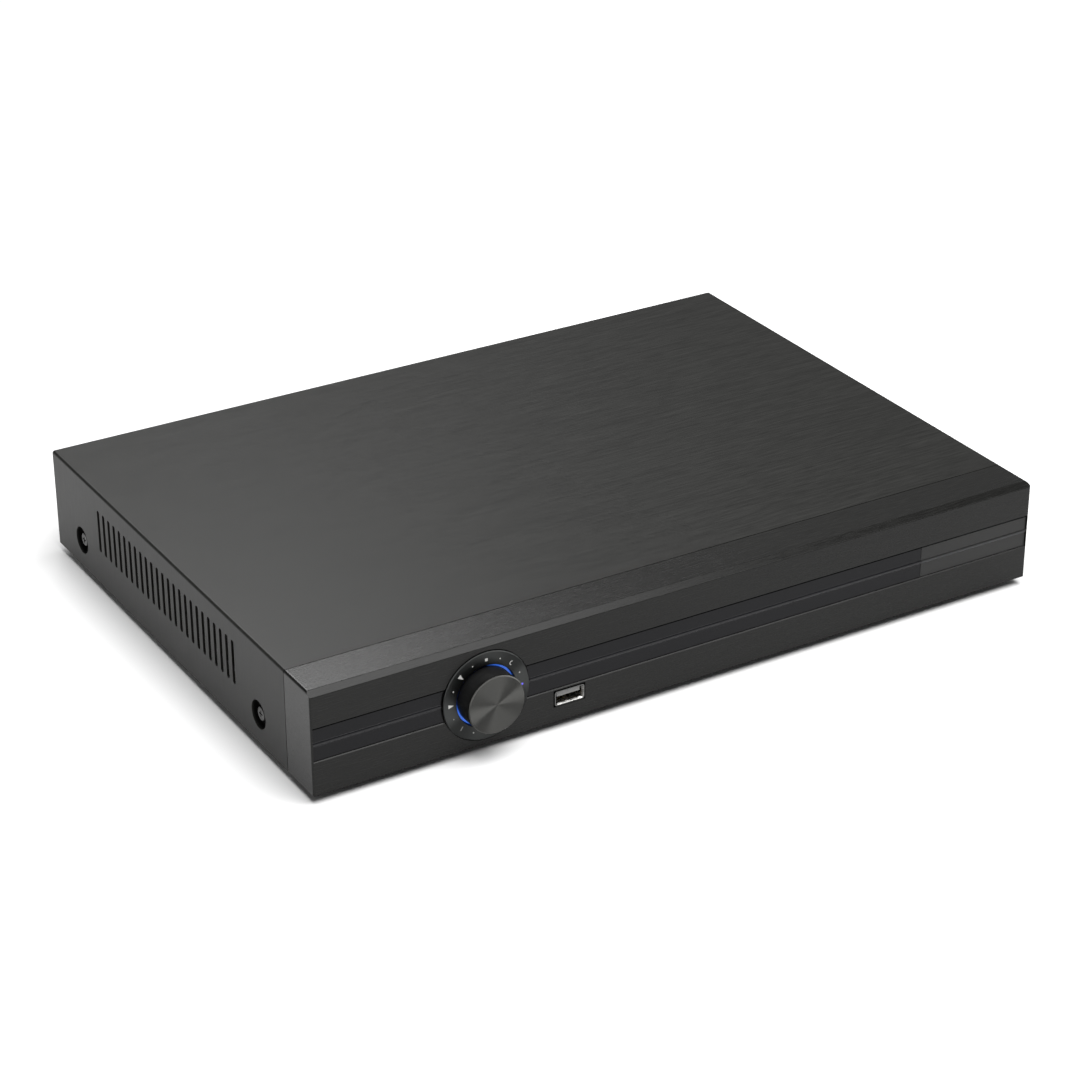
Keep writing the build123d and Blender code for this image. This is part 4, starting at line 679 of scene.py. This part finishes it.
def spun_metal(name, dark, light, roughness, pitch):
    """Turned metal: rings of slightly different tone, and a shine stretched across them."""
    made, tree, shader = plain_material(name, dark, roughness, metallic=1.0)
    place = add_node(tree, "ShaderNodeTexCoord").outputs["Object"]
    centre = (DIAL.x, 0.0, DIAL.z)
    about = add_node(tree, "ShaderNodeVectorMath", {0: place, 1: centre}, operation="SUBTRACT")
    flat = add_node(tree, "ShaderNodeVectorMath", {0: about.outputs[0], 1: (1.0, 0.0, 1.0)},
                    operation="MULTIPLY")
    radius = add_node(tree, "ShaderNodeVectorMath", {0: flat.outputs[0]}, operation="LENGTH")
    grooves = add_node(tree, "ShaderNodeTexNoise", {"W": radius.outputs["Value"],
                       "Scale": pitch, "Detail": 3.0}, noise_dimensions="1D")
    tone = ramp(tree, grooves.outputs["Fac"], 0.3, 0.7, 0.0, 1.0)
    tree.links.new(blend_colours(tree, tone, dark, light), shader.inputs["Base Color"])
    tree.links.new(ramp(tree, tone, 0.0, 1.0, roughness - 0.04, roughness + 0.04),
                   shader.inputs["Roughness"])
    shader.inputs["Anisotropic"].default_value = 1.0
    around = add_node(tree, "ShaderNodeTangent", direction_type="RADIAL", axis="Y")
    tree.links.new(around.outputs["Tangent"], shader.inputs["Tangent"])
    return made


def dial_profile():
    """The ring's cross-section: a fine bright bevel inside, a wider one outside, a flat back."""
    face, back = DIAL_FACE, dial_high.y
    inner, outer = 0.00022, 0.0003
    return ((DIAL_BORE, back), (DIAL_BORE, face + inner), (DIAL_BORE + inner, face),
            (DIAL_RADIUS - outer, face), (DIAL_RADIUS, face + outer), (DIAL_RADIUS, back))


dial_plate = place_piece(lathe("dial_plate", dial_profile(), True), "dial_plate", "root",
                         spun_metal("spun_dial", (0.05, 0.052, 0.051), (0.06, 0.062, 0.061),
                                    0.54, TURNING_MARKS))
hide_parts("dial_ring")

# ---- marks on the dial ---------------------------------------------------------------------
# Pale symbols printed on the dial plate at every eighth of a turn, with dots between them:
# arrowheads, a square, a hook and a slanted bar. The ink stands just proud of the metal.

MARK_RADIUS = 0.0166
INK_THICK = 0.00003
INK_BRIGHT = (0.56, 0.56, 0.54)
INK_DULL = (0.2, 0.2, 0.195)


def disc_outline(radius, steps=24):
    turn = np.linspace(0, 2 * math.pi, steps, endpoint=False)
    return radius * np.stack([np.cos(turn), np.sin(turn)], axis=1)


def hook_outline(radius, width, start, end, steps=14):
    """A curved stroke: an outer arc from start to end degrees and an inner arc back again."""
    turn = np.radians(np.linspace(start, end, steps))
    arc = np.stack([np.cos(turn), np.sin(turn)], axis=1)
    return np.concatenate([(radius + width / 2) * arc, (radius - width / 2) * arc[::-1]])


ARROW = 0.001 * np.array([(1.45, 0.0), (-1.05, 0.85), (-1.05, -0.85)])
ARROW_DOWN = np.stack([ARROW[:, 1], -ARROW[:, 0]], axis=1)
ARROW_SLANTED = 1.1 * (ARROW @ np.array([(0.7071, -0.7071), (0.7071, 0.7071)]))
BOX = 0.00062 * np.array([(1, 1), (-1, 1), (-1, -1), (1, -1)])
BAR = 0.00085 * np.array([(0.9, 1.0), (0.25, 1.0), (-0.9, -1.0), (-0.25, -1.0)])
HOOK = hook_outline(0.00085, 0.00034, 60, 250)
DOT = disc_outline(0.00030)
BRIGHT_MARKS = ((90, BOX), (135, ARROW_SLANTED), (180, ARROW), (157.5, DOT), (112.5, DOT),
                (45, HOOK), (67.5, DOT), (22.5, DOT), (247.5, DOT))
DULL_MARKS = ((225, BAR), (270, -ARROW_DOWN), (315, BAR), (202.5, DOT), (292.5, DOT),
              (337.5, DOT))


def printed_marks(name, marks):
    """Every outline is moved to its angle on the mark circle and given the ink's thickness."""
    points, faces, start = [], [], 0
    for angle, outline in marks:
        centre = MARK_RADIUS * np.array([math.cos(math.radians(angle)),
                                         math.sin(math.radians(angle))])
        flat = outline + centre + np.array([DIAL.x, DIAL.z])
        count = len(flat)
        for y in (DIAL_FACE - INK_THICK, DIAL_FACE + INK_THICK):
            points.append(np.stack([flat[:, 0], np.full(count, y), flat[:, 1]], axis=1))
        ring = np.arange(count) + start
        faces.append(ring.tolist())
        faces.append((ring[::-1] + count).tolist())
        sides = np.stack([ring, ring + count, np.roll(ring, -1) + count, np.roll(ring, -1)], axis=1)
        faces.extend(sides.tolist())
        start += 2 * count
    mesh = bpy.data.meshes.new(name)
    mesh.from_pydata(np.concatenate(points).tolist(), [], faces)
    return mesh


def screen_ink(name, colour):
    made, tree, shader = plain_material(name, colour, 0.55)
    mottle = stretched_noise(tree, (4000.0, 4000.0, 4000.0), 2.0)
    faded = tuple(0.82 * part for part in colour)
    tree.links.new(blend_colours(tree, mottle, faded, colour), shader.inputs["Base Color"])
    bump(tree, shader, mottle, 0.1, 0.00003)
    return made


for tag, marks, colour in (("bright", BRIGHT_MARKS, INK_BRIGHT), ("dull", DULL_MARKS, INK_DULL)):
    place_piece(printed_marks(f"dial_marks_{tag}", marks), f"dial_marks_{tag}", "root",
                screen_ink(f"ink_{tag}", colour))

# The mark at three o'clock is a pinhole lamp, a small blue lens flush with the plate.

LAMP_ANGLE = math.radians(2.0)
lamp_at = DIAL + MARK_RADIUS * Vector((math.cos(LAMP_ANGLE), 0.0, math.sin(LAMP_ANGLE)))
lamp_rise = 0.00012 * np.cos(np.linspace(0, math.pi / 2, 7))
lamp_reach = 0.00052 * np.sin(np.linspace(0, math.pi / 2, 7))
LAMP_SEGMENTS = 24


def dial_lamp():
    """A dome: radius = reach*sin(t), height = rise*cos(t), moved to its place on the plate."""
    turn = np.linspace(0, 2 * math.pi, LAMP_SEGMENTS, endpoint=False)
    x = lamp_at.x + lamp_reach[None, :] * np.cos(turn)[:, None]
    z = lamp_at.z + lamp_reach[None, :] * np.sin(turn)[:, None]
    y = np.broadcast_to(DIAL_FACE + 0.00002 - lamp_rise, x.shape)
    points = np.stack([x, y, z], axis=-1).reshape(-1, 3)
    count = len(lamp_rise)
    index = np.arange(LAMP_SEGMENTS * count).reshape(LAMP_SEGMENTS, count)
    ahead = np.roll(index, -1, axis=0)
    quads = np.stack([index[:, :-1], ahead[:, :-1], ahead[:, 1:], index[:, 1:]], axis=-1)
    mesh = bpy.data.meshes.new("dial_lamp")
    mesh.from_pydata(points.tolist(), [], quads.reshape(-1, 4).tolist() + [index[:, -1].tolist()])
    close_poles(mesh)
    return mesh


place_piece(dial_lamp(), "dial_lamp", "root", lamp_lens("blue_lens", (0.09, 0.07, 0.55), 0.9))

# ---- light ring ----------------------------------------------------------------------------
# A milky light guide in the gap between the dial plate and the knob, in front of four lamps on
# the front board. The glow is faded out by angle around the lamp at the upper left, which is
# shown as unlit. That is a chosen look: nothing in the shape of the guide or board causes it.

UNLIT_SIDE = (-0.7071, 0.0, 0.7071)


def lit_guide():
    made, tree, shader = plain_material("lit_guide", (0.02, 0.06, 0.3), 0.4)
    cloud = stretched_noise(tree, (260.0, 260.0, 260.0), 1.0)
    glow = blend_colours(tree, cloud, (0.02, 0.1, 0.52), (0.035, 0.14, 0.68))
    tree.links.new(glow, shader.inputs["Emission Color"])
    place = add_node(tree, "ShaderNodeTexCoord").outputs["Object"]
    centre = (DIAL.x, 0.0, DIAL.z)
    about = add_node(tree, "ShaderNodeVectorMath", {0: place, 1: centre}, operation="SUBTRACT")
    flat = add_node(tree, "ShaderNodeVectorMath", {0: about.outputs[0], 1: (1.0, 0.0, 1.0)},
                    operation="MULTIPLY")
    out = add_node(tree, "ShaderNodeVectorMath", {0: flat.outputs[0]}, operation="NORMALIZE")
    turned = add_node(tree, "ShaderNodeVectorMath", {0: out.outputs[0], 1: UNLIT_SIDE},
                      operation="DOT_PRODUCT").outputs["Value"]
    tree.links.new(ramp(tree, turned, 0.4, 0.64, 0.9, 0.0), shader.inputs["Emission Strength"])
    return made


dress(lit_guide(), "light_ring")

# ---- knob ----------------------------------------------------------------------------------
# The knob's black body is CAD; its face is a disc turned from aluminium, with a fine bright
# bevel at its edge and a tiny pip where the tool left the centre. It is glued into the body.

cap_low, cap_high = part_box("knob_cap")
CAP_RADIUS = (cap_high.x - cap_low.x) / 2
CAP_BEVEL = 0.00042
PIP = 0.00035


def knob_face_profile():
    """From the centre pip out over a very shallow dish, round the bevel and in along the back."""
    reach = np.linspace(PIP * 2, CAP_RADIUS - CAP_BEVEL, 24)
    dish = 0.00008 * (1 - (reach / CAP_RADIUS) ** 2)
    face = [(radius, cap_low.y + rise) for radius, rise in zip(reach, dish)]
    centre = [(0.0, cap_low.y + 0.00022), (PIP, cap_low.y + 0.00018)]
    edge = [(CAP_RADIUS, cap_low.y + CAP_BEVEL), (CAP_RADIUS, cap_high.y), (0.0, cap_high.y)]
    return centre + face + edge


knob_face = place_piece(lathe("knob_face", knob_face_profile(), False), "knob_face", "knob",
                        spun_metal("spun_knob", (0.092, 0.092, 0.088), (0.108, 0.108, 0.103),
                                   0.56, TURNING_MARKS), sharp=20.0)
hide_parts("knob_cap")


def knob_lacquer():
    made, tree, shader = plain_material("knob_lacquer", (0.006, 0.006, 0.006), 0.42, specular=0.3)
    cloud = stretched_noise(tree, (120.0, 900.0, 120.0), 2.0)
    tint = blend_colours(tree, cloud, (0.004, 0.004, 0.004), (0.009, 0.009, 0.009))
    tree.links.new(tint, shader.inputs["Base Color"])
    tree.links.new(ramp(tree, cloud, 0.3, 0.7, 0.36, 0.48), shader.inputs["Roughness"])
    return made


dress(knob_lacquer(), "knob_core")

# ---- top cover -----------------------------------------------------------------------------
# One sheet of steel folded down at both sides, with a black hairline lacquer. The lines run
# from left to right over the top and, past the folds, down the sides between the vents.

SCREW_REACH = 0.0030
cover_made, cover_tree, cover_shader = hairline(
    "cover_lacquer", (0.006, 0.006, 0.0055), (0.019, 0.019, 0.0175),
    (30.0, 1100.0, 30.0), (90.0, 2300.0, 90.0), 0.36)


def shade_dimples():
    """Painted shade in the dimples: the lacquer is darker and duller, fully so within 6 mm of a
    screw's axis.
    """
    tree, shader = cover_tree, cover_shader
    low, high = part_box("side_screws")
    place = add_node(tree, "ShaderNodeTexCoord").outputs["Object"]
    flat = add_node(tree, "ShaderNodeVectorMath", {0: place, 1: (0.0, 1.0, 1.0)},
                    operation="MULTIPLY").outputs[0]
    dimple_shade_masks = []
    for y in (low.y + SCREW_REACH, high.y - SCREW_REACH):
        centre = (0.0, y, (low.z + high.z) / 2)
        away = add_node(tree, "ShaderNodeVectorMath", {0: flat, 1: centre}, operation="DISTANCE")
        dimple_shade_masks.append(ramp(tree, away.outputs["Value"], 0.0057, 0.0063, 1.0, 0.0))
    dimple_shade_mask = add_node(tree, "ShaderNodeMath", {0: dimple_shade_masks[0], 1: dimple_shade_masks[1]}, operation="MAXIMUM")
    lacquer = shader.inputs["Base Color"].links[0].from_socket
    # painted shade: the lacquer is blended to near black inside the dimples, and its shine is lowered
    # there
    shaded = blend_colours(tree, dimple_shade_mask.outputs[0], lacquer, (0.003, 0.003, 0.003))
    tree.links.new(shaded, shader.inputs["Base Color"])
    shine = glossier_on_top(tree, shader, 0.13, 0.4)
    dulled = add_node(tree, "ShaderNodeMath", {0: shine, 1: dimple_shade_mask.outputs[0]},
                      operation="SUBTRACT")
    dulled.use_clamp = True
    tree.links.new(dulled.outputs[0], shader.inputs["Specular IOR Level"])


shade_dimples()
dress(cover_made, "top_cover")

# ---- outside screws and feet ---------------------------------------------------------------
# Black-oxide screws with cross recesses in the side dimples and along the rear lip, and four
# soft rubber feet with a dull, slightly dusty skin.


def black_oxide():
    made, tree, shader = plain_material("black_oxide", (0.02, 0.02, 0.02), 0.36, metallic=0.3)
    wear = stretched_noise(tree, (800.0, 800.0, 800.0), 3.0)
    tint = blend_colours(tree, wear, (0.014, 0.014, 0.014), (0.032, 0.032, 0.031))
    tree.links.new(tint, shader.inputs["Base Color"])
    tree.links.new(ramp(tree, wear, 0.3, 0.7, 0.28, 0.46), shader.inputs["Roughness"])
    bump(tree, shader, wear, 0.12, 0.0001)
    return made


def foot_rubber():
    made, tree, shader = plain_material("foot_rubber", (0.02, 0.02, 0.02), 0.75, specular=0.3)
    dust = stretched_noise(tree, (150.0, 150.0, 150.0), 4.0)
    tint = blend_colours(tree, dust, (0.016, 0.016, 0.016), (0.034, 0.033, 0.031))
    tree.links.new(tint, shader.inputs["Base Color"])
    bump(tree, shader, dust, 0.2, 0.0002)
    return made


dress(black_oxide(), "side_screws", "rear_screws")
dress(foot_rubber(), "rubber_feet")
